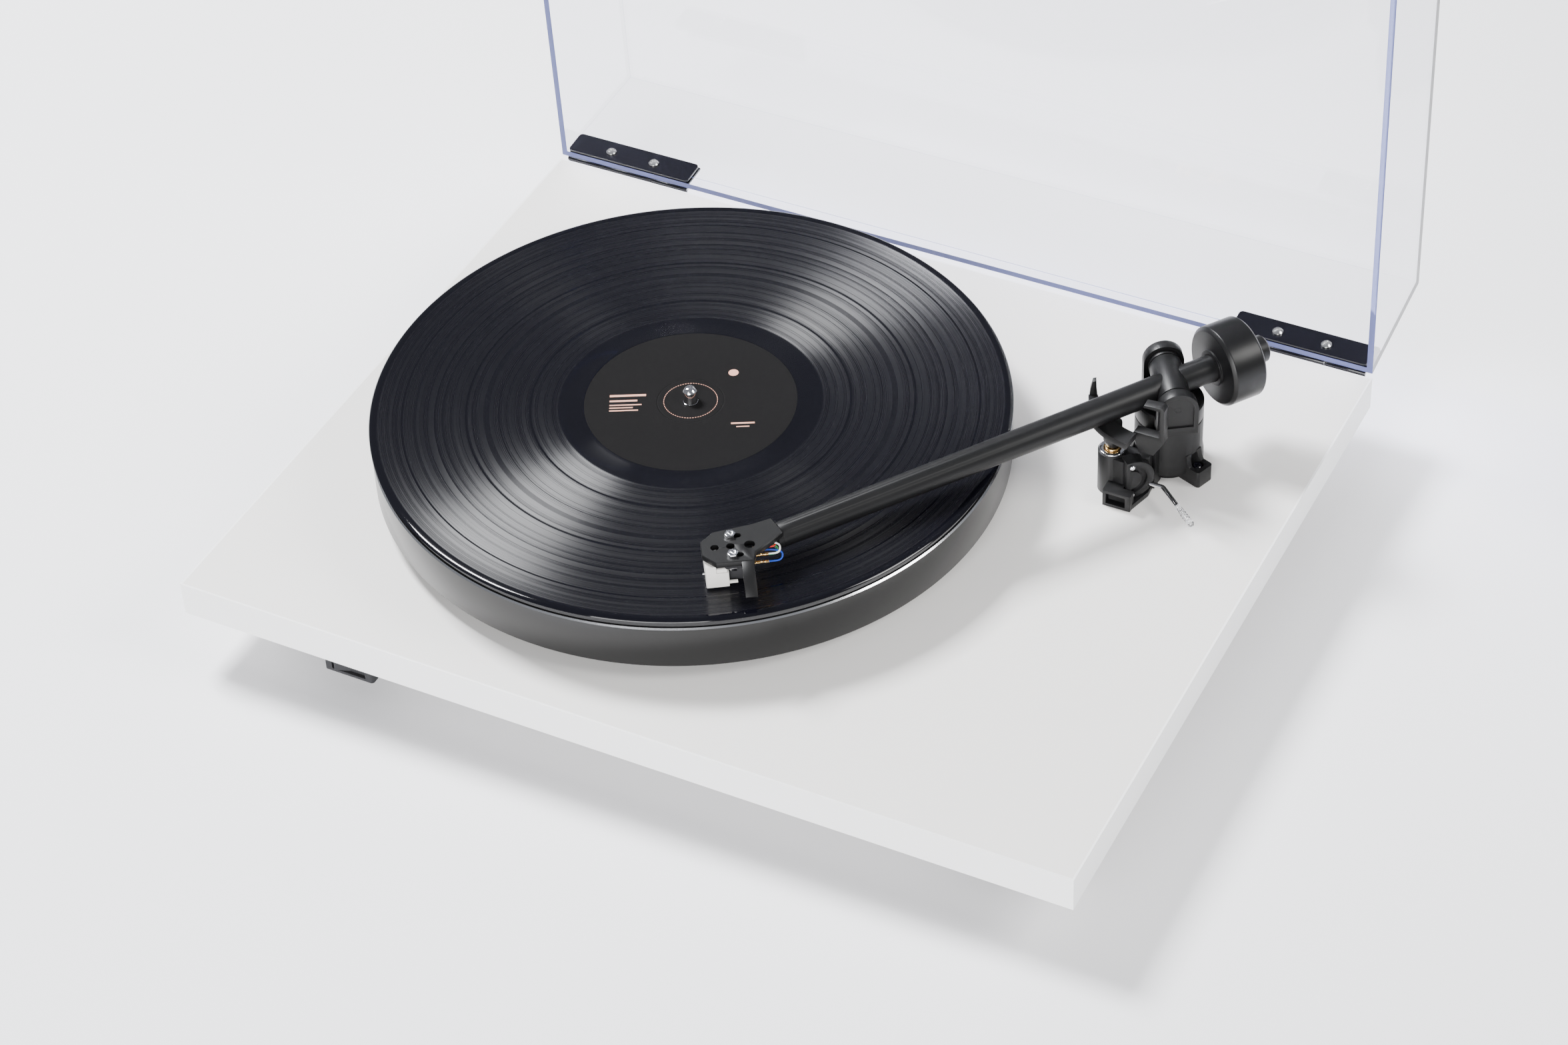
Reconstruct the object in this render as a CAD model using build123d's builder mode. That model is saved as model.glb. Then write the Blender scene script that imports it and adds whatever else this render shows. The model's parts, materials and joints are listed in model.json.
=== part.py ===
from build123d import *
import math
import os

# A belt-driven record player: board plinth on three feet, platter with a record on it,
# a gimballed arm and a clear lid that stands open on its stops.
# Every height below is measured from the plinth's top face, and every plan position
# from the plinth's centre; spot() moves them into the model's own frame, whose origin
# is on the ground, under the middle of the whole player.

# ---- Overall sizes, millimetres and degrees ----
PLINTH_W = 447.0
PLINTH_D = 360.0
PLINTH_T = 18.0
SKIN_T = 0.9
BAND_T = 1.0
FOOT_H = 28.5
FOOT_R = 21.0
FOOT_INSET_X = 46.0
FOOT_INSET_Y = 42.0

LID_W = 446.0
LID_H = 70.0
LID_WALL = 3.0
LID_DRAFT = 1.5
LID_OPEN = 87.8
RIM_GAP = 0.5

# ---- Platter, bearing and drive ----
SPINDLE_X = -47.3
SPINDLE_Y = -5.0
SHAFT_R = 5.5
SPINDLE_R = 3.6
SPINDLE_TOP_R = 3.4
SPINDLE_ABOVE = 8.2
HOUSING_R = 8.0
HOUSING_BOTTOM = -36.0
HOUSING_FLANGE_R = 13.0
HOUSING_FLANGE_T = 1.6
BALL_R = 3.0
PLATTER_R = 150.5
PLATTER_T = 23.0
PLATTER_GAP = 8.0
BOSS_R = 15.0
BOSS_H = 19.0
SUB_R = 74.0
BELT_R = 1.5
BELT_LEVEL = 5.0
MAT_R = 149.0
MAT_T = 3.0
RECORD_R = 150.8
RECORD_T = 2.0
LABEL_R = 50.0
LABEL_T = 0.2
DRIVE_RATIO = 15.0
STEP_RATIO = 1.35
MOTOR_DISTANCE = 115.0
MOTOR_AZIMUTH = 125.0
MOTOR_R = 25.0
MOTOR_H = 20.0
MOTOR_SHAFT_R = 1.0
WELL_R = 9.5

# ---- Arm ----
PIVOT_X = 157.0
PIVOT_Y = 84.3
ARM_LEVEL = 47.0
ARM_AZIMUTH = -125.2
OFFSET_ANGLE = 21.8
MOUNT_DISTANCE = 229.2
MOUNT_SIDE = 1.7
TUBE_ROOT_R = 6.6
TUBE_TIP_R = 5.9
TUBE_WALL = 1.1
TUBE_END = 205.0
STUB_R = 6.5
STUB_END = 51.5
CROSS_R = 7.75
CROSS_HALF = 15.0
COLUMN_R = 16.0
COLUMN_TOP = 30.0
YOKE_TOP = 38.9
UPRIGHT_T = 5.0
UPRIGHT_W = 19.0
UPRIGHT_FOOT = 33.0
LUG_REACH = 23.5
LUG_W = 10.0
LUG_H = 9.0
LUG_SCREW_R = 18.4
LUG_AZIMUTH = -20.0
WEIGHT_R = 19.5
WEIGHT_L = 18.0
WEIGHT_START = 23.0
SHELL_T = 2.8
SHELL_TOP = 53.4
SHELL_HALF = 10.8
SHELL_FRONT = 13.5
SCREW_SPACING = 12.7
STYLUS_FORWARD = 9.5

# ---- Lift ----
LIFT_R = 32.0
LIFT_AZIMUTH = -122.0
LIFT_TOP = 23.0
LIFT_BODY_R = 6.75
BOX_X0 = 141.0
BOX_X1 = 155.0
BOX_FRONT = 43.3
BOX_H = 9.0
LEVER_Y = 57.5
LEVER_Z = 8.0

# ---- Hinges ----
HINGE_L = 70.0
HINGE_SIDE_GAP = 0.5
HINGE_OUT = 1.25
HINGE_UP = 0.75
KNUCKLE_R = 1.15
PIN_R = 0.6
LEAF_T = 1.2
LEAF_H = 15.2
HINGE_SCREW_SPACING = 25.0

# ---- Fits ----
SLIP = 0.03
SEAT = 0.02
RUN = 0.05
APART = 0.3

# ---- Placing ----
PLINTH_TOP = FOOT_H + PLINTH_T
HINGE_Y = PLINTH_D / 2 + HINGE_OUT
HINGE_X = LID_W / 2 - LID_WALL - HINGE_SIDE_GAP - HINGE_L / 2
OPEN = math.radians(LID_OPEN)
LID_DEPTH = PLINTH_D
LID_RISE = LID_H + RIM_GAP - HINGE_UP
DRAFT_INSET = LID_H * math.tan(math.radians(LID_DRAFT))
LID_REACH = HINGE_Y + LID_RISE * math.sin(OPEN) - (HINGE_OUT + DRAFT_INSET) * math.cos(OPEN)
MIDDLE_Y = (LID_REACH - PLINTH_D / 2) / 2


def spot(x, y, z):
    """A point given from the plinth's top centre, in the model's frame."""
    return (x, y - MIDDLE_Y, z + PLINTH_TOP)


def level(x, y, z):
    """A horizontal plane whose origin is at that point."""
    return Plane(origin=spot(x, y, z))


def facing(x, y, z, normal, across):
    """A plane at that point that faces along normal, with its own X along across."""
    return Plane(origin=spot(x, y, z), x_dir=across, z_dir=normal)


def place(plane, x=0.0, y=0.0, z=0.0, turn=(0, 0, 0)):
    """The plane moved by x, y, z and then turned, both in its own axes."""
    moved = plane.location * Location((x, y, z)) * Location((0, 0, 0), turn)
    return Plane(moved)


def rod(plane, radius, height, mode=Mode.ADD):
    """A cylinder that stands on the plane."""
    with BuildSketch(plane) as section:
        Circle(radius)
    extrude(section.sketch.faces(), amount=height, dir=plane.z_dir, mode=mode)


def slab(plane, width, depth, height, corner=0.0, mode=Mode.ADD):
    """A rectangular block that stands on the plane, centred on its origin."""
    with BuildSketch(plane) as section:
        if corner > 0:
            RectangleRounded(width, depth, corner)
        else:
            Rectangle(width, depth)
    extrude(section.sketch.faces(), amount=height, dir=plane.z_dir, mode=mode)


def prism(plane, outline, height, mode=Mode.ADD):
    """A block with that outline, standing on the plane."""
    with BuildSketch(plane) as section:
        with BuildLine():
            Polyline(*outline, close=True)
        make_face()
    extrude(section.sketch.faces(), amount=height, dir=plane.z_dir, mode=mode)


def turned(plane, profile, mode=Mode.ADD):
    """The solid that a (radius, height) profile makes when it turns round the plane's Z."""
    side = Plane(origin=plane.origin, x_dir=plane.x_dir, z_dir=-plane.y_dir)
    with BuildSketch(side) as section:
        with BuildLine():
            Polyline(*profile, close=True)
        make_face()
    revolve(section.sketch.faces(), axis=Axis(plane.origin, plane.z_dir), mode=mode)


def hexagon(plane, across_flats, height, mode=Mode.ADD):
    """A hexagonal block that stands on the plane."""
    with BuildSketch(plane) as section:
        RegularPolygon(across_flats / 2, 6, major_radius=False)
    extrude(section.sketch.faces(), amount=height, dir=plane.z_dir, mode=mode)


def keep(piece, name):
    """Labels a finished piece and writes its file."""
    piece.part.label = name
    export_step(piece.part, f"parts/{name}.step")


os.makedirs("parts", exist_ok=True)

SPINDLE = level(SPINDLE_X, SPINDLE_Y, 0)
motor_angle = math.radians(MOTOR_AZIMUTH)
MOTOR_X = SPINDLE_X + MOTOR_DISTANCE * math.cos(motor_angle)
MOTOR_Y = SPINDLE_Y + MOTOR_DISTANCE * math.sin(motor_angle)
MOTOR = level(MOTOR_X, MOTOR_Y, 0)
PIVOT = level(PIVOT_X, PIVOT_Y, 0)
arm_angle = math.radians(ARM_AZIMUTH)
ARM = facing(PIVOT_X, PIVOT_Y, ARM_LEVEL, (0, 0, 1), (math.cos(arm_angle), math.sin(arm_angle), 0))

# Plane whose X runs forward along the cartridge and whose origin is between its screws.
SHELL = place(ARM, MOUNT_DISTANCE, MOUNT_SIDE, SHELL_TOP - ARM_LEVEL, (0, 0, -OFFSET_ANGLE))
# Plane whose Y runs along the bearing axis, square to the cartridge.
CROSS = place(ARM, turn=(0, 0, -OFFSET_ANGLE))

# ======================= Plinth =======================
UNDER = -PLINTH_T
SCREW_SHANK_R = 1.75
SCREW_HEAD_R = 4.0
SCREW_HEAD_H = 2.4
SCREW_BITE = 10.0
FOOT_WEB = 8.0
FOOT_BORE_R = 6.5
CUP_SCREW_R = 33.0
CUP_FLANGE_T = 2.5
CASE_W = 110.0
CASE_D = 62.0
CASE_H = 20.0
CASE_X = 100.0
CASE_REAR = 166.0
CASE_WALL = 2.0
EAR_T = 2.5
EAR_W = 12.0
SWITCH_X = -140.0
SWITCH_FRONT = -174.0
SWITCH_W = 26.0
SWITCH_D = 20.0
SWITCH_H = 13.0
ARM_SHAFT_R = 5.0
ARM_SHAFT_BOTTOM = -26.0

FOOT_SPOTS = [
    (FOOT_INSET_X - PLINTH_W / 2, FOOT_INSET_Y - PLINTH_D / 2),
    (PLINTH_W / 2 - FOOT_INSET_X, FOOT_INSET_Y - PLINTH_D / 2),
    (0.0, PLINTH_D / 2 - FOOT_INSET_Y),
]
CUP_SPOTS = [
    (
        MOTOR_X + CUP_SCREW_R * math.cos(math.radians(MOTOR_AZIMUTH + turn)),
        MOTOR_Y + CUP_SCREW_R * math.sin(math.radians(MOTOR_AZIMUTH + turn)),
    )
    for turn in (60, 180, 300)
]
CASE_Y = CASE_REAR - CASE_D / 2
EAR_X = CASE_W / 2 + EAR_W / 2 - 1
CASE_SPOTS = [
    (CASE_X + side * EAR_X, CASE_Y + end * (CASE_D / 2 - EAR_W / 2))
    for side in (-1, 1)
    for end in (-1, 1)
]
SWITCH_Y = SWITCH_FRONT + SWITCH_D / 2
SWITCH_EAR_X = SWITCH_W / 2 + EAR_W / 2 - 1
SWITCH_SPOTS = [(SWITCH_X + side * SWITCH_EAR_X, SWITCH_Y) for side in (-1, 1)]
# Depth below the plinth at which each underside screw's head bears.
UNDER_SCREWS = (
    [(x, y, FOOT_WEB) for x, y in FOOT_SPOTS]
    + [(x, y, CUP_FLANGE_T) for x, y in CUP_SPOTS]
    + [(x, y, EAR_T) for x, y in CASE_SPOTS + SWITCH_SPOTS]
)
LUG_ANGLES = [LUG_AZIMUTH, LUG_AZIMUTH + 120, LUG_AZIMUTH + 240]
LUG_SPOTS = [
    (
        PIVOT_X + LUG_SCREW_R * math.cos(math.radians(a)),
        PIVOT_Y + LUG_SCREW_R * math.sin(math.radians(a)),
    )
    for a in LUG_ANGLES
]
ARM_SCREW_R = 1.6
ARM_SCREW_BITE = 12.0


def plinth_bores(bottom, top):
    """Cuts every hole of the plinth between two heights out of the layer being made."""
    deep = top - bottom
    rod(level(SPINDLE_X, SPINDLE_Y, bottom), HOUSING_R + RUN, deep, Mode.SUBTRACT)
    rod(level(MOTOR_X, MOTOR_Y, bottom), WELL_R, deep, Mode.SUBTRACT)
    rod(level(PIVOT_X, PIVOT_Y, bottom), HOUSING_R + RUN, deep, Mode.SUBTRACT)
    pilot_top = UNDER + SCREW_BITE + SLIP
    if bottom < pilot_top:
        for x, y, _ in UNDER_SCREWS:
            rod(level(x, y, bottom), SCREW_SHANK_R + RUN, min(top, pilot_top) - bottom, Mode.SUBTRACT)
    pilot_bottom = -ARM_SCREW_BITE - SLIP
    if top > pilot_bottom:
        for x, y in LUG_SPOTS:
            low = max(bottom, pilot_bottom)
            rod(level(x, y, low), ARM_SCREW_R + RUN, top - low, Mode.SUBTRACT)


CORE_W = PLINTH_W - 2 * BAND_T
CORE_D = PLINTH_D - 2 * BAND_T
BRACKET_SCREW_Z = -8.0
BRACKET_SCREW_R = 1.5
BRACKET_SCREW_L = 12.0
BRACKET_SPOTS = [side * HINGE_X + step for side in (-1, 1) for step in (-20.0, 20.0)]

with BuildPart() as plinth_core:
    slab(level(0, 0, UNDER + SKIN_T), CORE_W, CORE_D, PLINTH_T - 2 * SKIN_T)
    plinth_bores(UNDER + SKIN_T, -SKIN_T)
    for x in BRACKET_SPOTS:
        start = facing(x, PLINTH_D / 2 + 1, BRACKET_SCREW_Z, (0, -1, 0), (1, 0, 0))
        rod(start, BRACKET_SCREW_R + RUN, BRACKET_SCREW_L + 1, Mode.SUBTRACT)
keep(plinth_core, "plinth_core")

with BuildPart() as plinth_top_skin:
    slab(level(0, 0, -SKIN_T), CORE_W, CORE_D, SKIN_T)
    plinth_bores(-SKIN_T, 0)
keep(plinth_top_skin, "plinth_top_skin")

with BuildPart() as plinth_base_skin:
    slab(level(0, 0, UNDER), CORE_W, CORE_D, SKIN_T)
    plinth_bores(UNDER, UNDER + SKIN_T)
keep(plinth_base_skin, "plinth_base_skin")

with BuildPart() as edge_band:
    slab(level(0, 0, UNDER), PLINTH_W, PLINTH_D, PLINTH_T)
    slab(level(0, 0, UNDER), CORE_W, CORE_D, PLINTH_T, mode=Mode.SUBTRACT)
    for x in BRACKET_SPOTS:
        start = facing(x, PLINTH_D / 2 + 1, BRACKET_SCREW_Z, (0, -1, 0), (1, 0, 0))
        rod(start, BRACKET_SCREW_R + RUN, BAND_T + 2, Mode.SUBTRACT)
keep(edge_band, "edge_band")

# Rubber feet: a flanged cone with a deep recess for the screw head.
with BuildPart() as feet:
    for x, y in FOOT_SPOTS:
        turned(
            level(x, y, UNDER),
            [
                (SCREW_SHANK_R + 0.1, 0),
                (FOOT_R, 0),
                (FOOT_R, -4),
                (FOOT_R - 3.2, -11),
                (FOOT_R - 4.6, 1.5 - FOOT_H),
                (FOOT_R - 6.1, -FOOT_H),
                (FOOT_BORE_R, -FOOT_H),
                (FOOT_BORE_R, -FOOT_WEB),
                (SCREW_SHANK_R + 0.1, -FOOT_WEB),
            ],
        )
keep(feet, "feet")


def pan_screw(plane, shank_r, shank_l, head_r, head_h):
    """A cross-head screw that points along the plane's Z, with its head's seat on the plane."""
    rod(plane, shank_r, shank_l)
    under = Plane(origin=plane.origin, x_dir=plane.x_dir, z_dir=-plane.z_dir)
    dome = [(0, 0), (head_r, 0), (head_r, head_h * 0.45), (head_r * 0.62, head_h), (0, head_h)]
    turned(under, dome)
    slot = place(under, z=head_h * 0.5)
    slab(slot, head_r * 1.1, head_r * 0.22, head_h, mode=Mode.SUBTRACT)
    slab(slot, head_r * 0.22, head_r * 1.1, head_h, mode=Mode.SUBTRACT)


with BuildPart() as underside_screws:
    for x, y, seat in UNDER_SCREWS:
        shank_l = seat + SCREW_BITE
        pan_screw(level(x, y, UNDER - seat), SCREW_SHANK_R, shank_l, SCREW_HEAD_R, SCREW_HEAD_H)
keep(underside_screws, "underside_screws")

# ======================= Main bearing =======================
BEARING_BORE_R = SHAFT_R + SLIP
BORE_BOTTOM = HOUSING_BOTTOM + 4.0
BALL_TOP = BORE_BOTTOM + 2 * BALL_R
NUT_H = 6.0
NUT_AF = 26.0

with BuildPart() as bearing_housing:
    turned(
        SPINDLE,
        [
            (BEARING_BORE_R, HOUSING_FLANGE_T),
            (HOUSING_FLANGE_R, HOUSING_FLANGE_T),
            (HOUSING_FLANGE_R, 0),
            (HOUSING_R, 0),
            (HOUSING_R, HOUSING_BOTTOM + 1),
            (HOUSING_R - 1, HOUSING_BOTTOM),
            (0, HOUSING_BOTTOM),
            (0, BORE_BOTTOM),
            (BEARING_BORE_R, BORE_BOTTOM),
        ],
    )
keep(bearing_housing, "bearing_housing")

# The platter bearing and the arm base are held by the same nut.
with BuildPart() as housing_nuts:
    for x, y in ((SPINDLE_X, SPINDLE_Y), (PIVOT_X, PIVOT_Y)):
        hexagon(level(x, y, UNDER - NUT_H), NUT_AF, NUT_H)
        rod(level(x, y, UNDER - NUT_H), HOUSING_R + RUN, NUT_H, Mode.SUBTRACT)
keep(housing_nuts, "housing_nuts")

with BuildPart() as bearing_ball:
    with Locations(spot(SPINDLE_X, SPINDLE_Y, BORE_BOTTOM + BALL_R)):
        Sphere(BALL_R)
keep(bearing_ball, "bearing_ball")

# ======================= Platter stack =======================
SUB_BOTTOM = HOUSING_FLANGE_T + 1.0
PLATTER_TOP = PLATTER_GAP + PLATTER_T
MAT_TOP = PLATTER_TOP + MAT_T
RECORD_TOP = MAT_TOP + RECORD_T
BOSS_TOP = PLATTER_GAP + BOSS_H
GROOVE_HALF = BELT_R + 0.4
SUB_GROOVE_R = SUB_R - BELT_R
SUB_PITCH_R = SUB_GROOVE_R + BELT_R

with BuildPart() as sub_platter:
    turned(
        SPINDLE,
        [
            (SHAFT_R + SLIP, SUB_BOTTOM),
            (SUB_R, SUB_BOTTOM),
            (SUB_R, BELT_LEVEL - GROOVE_HALF),
            (SUB_GROOVE_R, BELT_LEVEL - GROOVE_HALF),
            (SUB_GROOVE_R, BELT_LEVEL + GROOVE_HALF),
            (SUB_R, BELT_LEVEL + GROOVE_HALF),
            (SUB_R, PLATTER_GAP),
            (BOSS_R, PLATTER_GAP),
            (BOSS_R, BOSS_TOP),
            (SHAFT_R + SLIP, BOSS_TOP),
        ],
    )
keep(sub_platter, "sub_platter")

TIP = RECORD_TOP + SPINDLE_ABOVE
with BuildPart() as spindle:
    turned(
        SPINDLE,
        [
            (0, BALL_TOP + RUN),
            (SHAFT_R, BALL_TOP + RUN),
            (SHAFT_R, BOSS_TOP),
            (SPINDLE_R, BOSS_TOP),
            (SPINDLE_R, RECORD_TOP),
            (SPINDLE_TOP_R, RECORD_TOP),
            (SPINDLE_TOP_R, TIP - 2.0),
            (SPINDLE_TOP_R * 0.62, TIP - 0.4),
            (SPINDLE_TOP_R * 0.3, TIP),
            (0, TIP),
        ],
    )
keep(spindle, "spindle")

with BuildPart() as platter:
    turned(
        SPINDLE,
        [
            (BOSS_R + RUN, PLATTER_GAP),
            (PLATTER_R - 1.0, PLATTER_GAP),
            (PLATTER_R, PLATTER_GAP + 1.0),
            (PLATTER_R, PLATTER_TOP - 0.7),
            (PLATTER_R - 0.7, PLATTER_TOP),
            (SHAFT_R + 1.0, PLATTER_TOP),
            (SHAFT_R + 1.0, BOSS_TOP + APART),
            (BOSS_R + RUN, BOSS_TOP + APART),
        ],
    )
keep(platter, "platter")

with BuildPart() as platter_mat:
    rod(level(SPINDLE_X, SPINDLE_Y, PLATTER_TOP), MAT_R, MAT_T)
    rod(level(SPINDLE_X, SPINDLE_Y, PLATTER_TOP), SPINDLE_R + 0.2, MAT_T, Mode.SUBTRACT)
    fillet(platter_mat.edges().filter_by(GeomType.CIRCLE).group_by(SortBy.RADIUS)[-1], 0.6)
keep(platter_mat, "platter_mat")

GROOVES_START = LABEL_R + 2.6
GROOVES_END = RECORD_R - 4.2
GROOVES_DOWN = 0.2
with BuildPart() as record:
    turned(
        SPINDLE,
        [
            (SPINDLE_R + RUN, MAT_TOP),
            (RECORD_R - 1.6, MAT_TOP),
            (RECORD_R - 0.4, MAT_TOP + 0.5),
            (RECORD_R, MAT_TOP + 1.0),
            (RECORD_R - 0.4, RECORD_TOP - 0.5),
            (RECORD_R - 1.6, RECORD_TOP),
            (GROOVES_END + 0.6, RECORD_TOP),
            (GROOVES_END, RECORD_TOP - GROOVES_DOWN),
            (GROOVES_START, RECORD_TOP - GROOVES_DOWN),
            (GROOVES_START - 0.8, RECORD_TOP),
            (LABEL_R + RUN, RECORD_TOP),
            (LABEL_R + RUN, RECORD_TOP - LABEL_T),
            (SPINDLE_R + RUN, RECORD_TOP - LABEL_T),
        ],
    )
keep(record, "record")

with BuildPart() as record_label:
    rod(level(SPINDLE_X, SPINDLE_Y, RECORD_TOP - LABEL_T), LABEL_R, LABEL_T)
    rod(level(SPINDLE_X, SPINDLE_Y, RECORD_TOP - LABEL_T), SPINDLE_R + RUN, LABEL_T, Mode.SUBTRACT)
keep(record_label, "record_label")

# ======================= Motor, pulley and belt =======================
PITCH_R = SUB_PITCH_R / DRIVE_RATIO
SLOW_R = PITCH_R - BELT_R
FAST_R = PITCH_R * STEP_RATIO - BELT_R
PULLEY_BOTTOM = BELT_LEVEL - 8.0
PULLEY_TOP = PLATTER_GAP - 0.4
STEP_LEVEL = BELT_LEVEL - GROOVE_HALF
CAN_BOTTOM = UNDER - MOTOR_H
CUP_T = 2.5
CUP_R = MOTOR_R + APART + CUP_T

with BuildPart() as drive_pulley:
    turned(
        MOTOR,
        [
            (MOTOR_SHAFT_R + 0.02, PULLEY_BOTTOM),
            (FAST_R + 2.6, PULLEY_BOTTOM),
            (FAST_R + 2.6, PULLEY_BOTTOM + 1.5),
            (FAST_R, PULLEY_BOTTOM + 1.9),
            (FAST_R, STEP_LEVEL - 1.5),
            (FAST_R + 2.0, STEP_LEVEL - 1.1),
            (FAST_R + 2.0, STEP_LEVEL),
            (SLOW_R, STEP_LEVEL),
            (SLOW_R, BELT_LEVEL + GROOVE_HALF),
            (SLOW_R + 2.2, BELT_LEVEL + GROOVE_HALF),
            (SLOW_R + 2.2, PULLEY_TOP),
            (MOTOR_SHAFT_R + 0.02, PULLEY_TOP),
        ],
    )
keep(drive_pulley, "drive_pulley")

with BuildPart() as motor_shaft:
    rod(level(MOTOR_X, MOTOR_Y, UNDER - 12), MOTOR_SHAFT_R, PULLEY_TOP - 0.2 - UNDER + 12)
keep(motor_shaft, "motor_shaft")

with BuildPart() as motor_can:
    turned(
        MOTOR,
        [
            (MOTOR_SHAFT_R + RUN, PULLEY_BOTTOM - 3.0),
            (5.0, PULLEY_BOTTOM - 3.0),
            (5.0, UNDER),
            (MOTOR_R, UNDER),
            (MOTOR_R, CAN_BOTTOM),
            (0, CAN_BOTTOM),
            (0, UNDER - 12.4),
            (MOTOR_SHAFT_R + RUN, UNDER - 12.4),
        ],
    )
keep(motor_can, "motor_can")

with BuildPart() as motor_cup:
    turned(
        MOTOR,
        [
            (MOTOR_R + APART, UNDER),
            (CUP_SCREW_R + 5.0, UNDER),
            (CUP_SCREW_R + 5.0, UNDER - CUP_FLANGE_T),
            (CUP_R, UNDER - CUP_FLANGE_T),
            (CUP_R, CAN_BOTTOM - CUP_T + 2),
            (CUP_R - 2, CAN_BOTTOM - CUP_T),
            (0, CAN_BOTTOM - CUP_T),
            (0, CAN_BOTTOM),
            (MOTOR_R + APART, CAN_BOTTOM),
        ],
    )
    for x, y in CUP_SPOTS:
        rod(level(x, y, UNDER - CUP_FLANGE_T), SCREW_SHANK_R + RUN, CUP_FLANGE_T, Mode.SUBTRACT)
keep(motor_cup, "motor_cup")

# Round belt: two arcs joined by two tangent runs, a running clearance outside both grooves.
big_r = SUB_GROOVE_R + BELT_R + APART
small_r = SLOW_R + BELT_R + APART
lean = math.acos((big_r - small_r) / MOTOR_DISTANCE)
from_big = MOTOR_AZIMUTH + math.degrees(lean)
to_big = MOTOR_AZIMUTH - math.degrees(lean)
BELT_PLANE = level(SPINDLE_X, SPINDLE_Y, BELT_LEVEL)


def around(centre_x, centre_y, radius, azimuth):
    """A point on a circle, in the belt's plane."""
    turn = math.radians(azimuth)
    return (centre_x + radius * math.cos(turn), centre_y + radius * math.sin(turn))


small_x = MOTOR_DISTANCE * math.cos(motor_angle)
small_y = MOTOR_DISTANCE * math.sin(motor_angle)
with BuildPart() as drive_belt:
    with BuildLine(BELT_PLANE) as belt_path:
        CenterArc((0, 0), big_r, from_big, 360 - (from_big - to_big))
        Line(around(0, 0, big_r, to_big), around(small_x, small_y, small_r, to_big))
        CenterArc((small_x, small_y), small_r, to_big, from_big - to_big)
        Line(around(small_x, small_y, small_r, from_big), around(0, 0, big_r, from_big))
    with BuildSketch(belt_path.line ^ 0):
        Circle(BELT_R)
    sweep()
keep(drive_belt, "drive_belt")

# ======================= Underside electrics =======================
RCA_X = (CASE_X - 32.0, CASE_X - 14.0)
DC_X = CASE_X + 34.0
PORT_Z = UNDER - 9.0
RCA_R = 4.15
RCA_LONG = 9.5
RCA_NECK_R = 3.0
DC_R = 4.5
POST_H = 2.5
BOARD_T = 1.6

with BuildPart() as phono_case:
    slab(level(CASE_X, CASE_Y, UNDER - CASE_H), CASE_W, CASE_D, CASE_H, 3.0)
    inside = level(CASE_X, CASE_Y, UNDER - CASE_H + CASE_WALL)
    slab(inside, CASE_W - 2 * CASE_WALL, CASE_D - 2 * CASE_WALL, CASE_H, 1.5, Mode.SUBTRACT)
    for x in RCA_X:
        rod(facing(x, CASE_REAR + 1, PORT_Z, (0, -1, 0), (1, 0, 0)), RCA_NECK_R + RUN, 5, Mode.SUBTRACT)
    rod(facing(DC_X, CASE_REAR + 1, PORT_Z, (0, -1, 0), (1, 0, 0)), DC_R + RUN, 5, Mode.SUBTRACT)
    for side in (-1, 1):
        for end in (-1, 1):
            post_x = CASE_X + side * (CASE_W / 2 - 9)
            post_y = CASE_Y + end * (CASE_D / 2 - 9)
            rod(level(post_x, post_y, UNDER - CASE_H + CASE_WALL), 3.0, POST_H)
    for x, y in CASE_SPOTS:
        slab(level(x, y, UNDER - EAR_T), EAR_W, EAR_W, EAR_T)
    for x, y in CASE_SPOTS:
        rod(level(x, y, UNDER - EAR_T), SCREW_SHANK_R + RUN, EAR_T, Mode.SUBTRACT)
keep(phono_case, "phono_case")

with BuildPart() as phono_board:
    board_z = UNDER - CASE_H + CASE_WALL + POST_H
    slab(level(CASE_X, CASE_Y - 1, board_z), CASE_W - 10, CASE_D - 12, BOARD_T)
    for x, y, w, d, h in (
        (-30, 4, 12, 9, 5),
        (-8, -6, 9, 9, 4),
        (14, 6, 16, 8, 3),
        (34, -8, 8, 8, 8),
    ):
        slab(level(CASE_X + x, CASE_Y + y, board_z + BOARD_T), w, d, h)
keep(phono_board, "phono_board")

with BuildPart() as phono_sockets:
    for x in RCA_X:
        turned(
            facing(x, CASE_REAR, PORT_Z, (0, 1, 0), (-1, 0, 0)),
            [
                (0, -6),
                (RCA_NECK_R, -6),
                (RCA_NECK_R, 0),
                (RCA_R + 1.9, 0),
                (RCA_R + 1.9, 1.2),
                (RCA_R, 1.2),
                (RCA_R, RCA_LONG),
                (1.7, RCA_LONG),
                (1.7, 1.5),
                (0, 1.5),
            ],
        )
keep(phono_sockets, "phono_sockets")

with BuildPart() as power_socket:
    turned(
        facing(DC_X, CASE_REAR, PORT_Z, (0, 1, 0), (-1, 0, 0)),
        [
            (0, -10),
            (DC_R, -10),
            (DC_R, 0),
            (DC_R + 1.3, 0),
            (DC_R + 1.3, 1.0),
            (2.75, 1.0),
            (2.75, -8),
            (1.0, -8),
            (1.0, 0.2),
            (0, 0.2),
        ],
    )
keep(power_socket, "power_socket")

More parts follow.
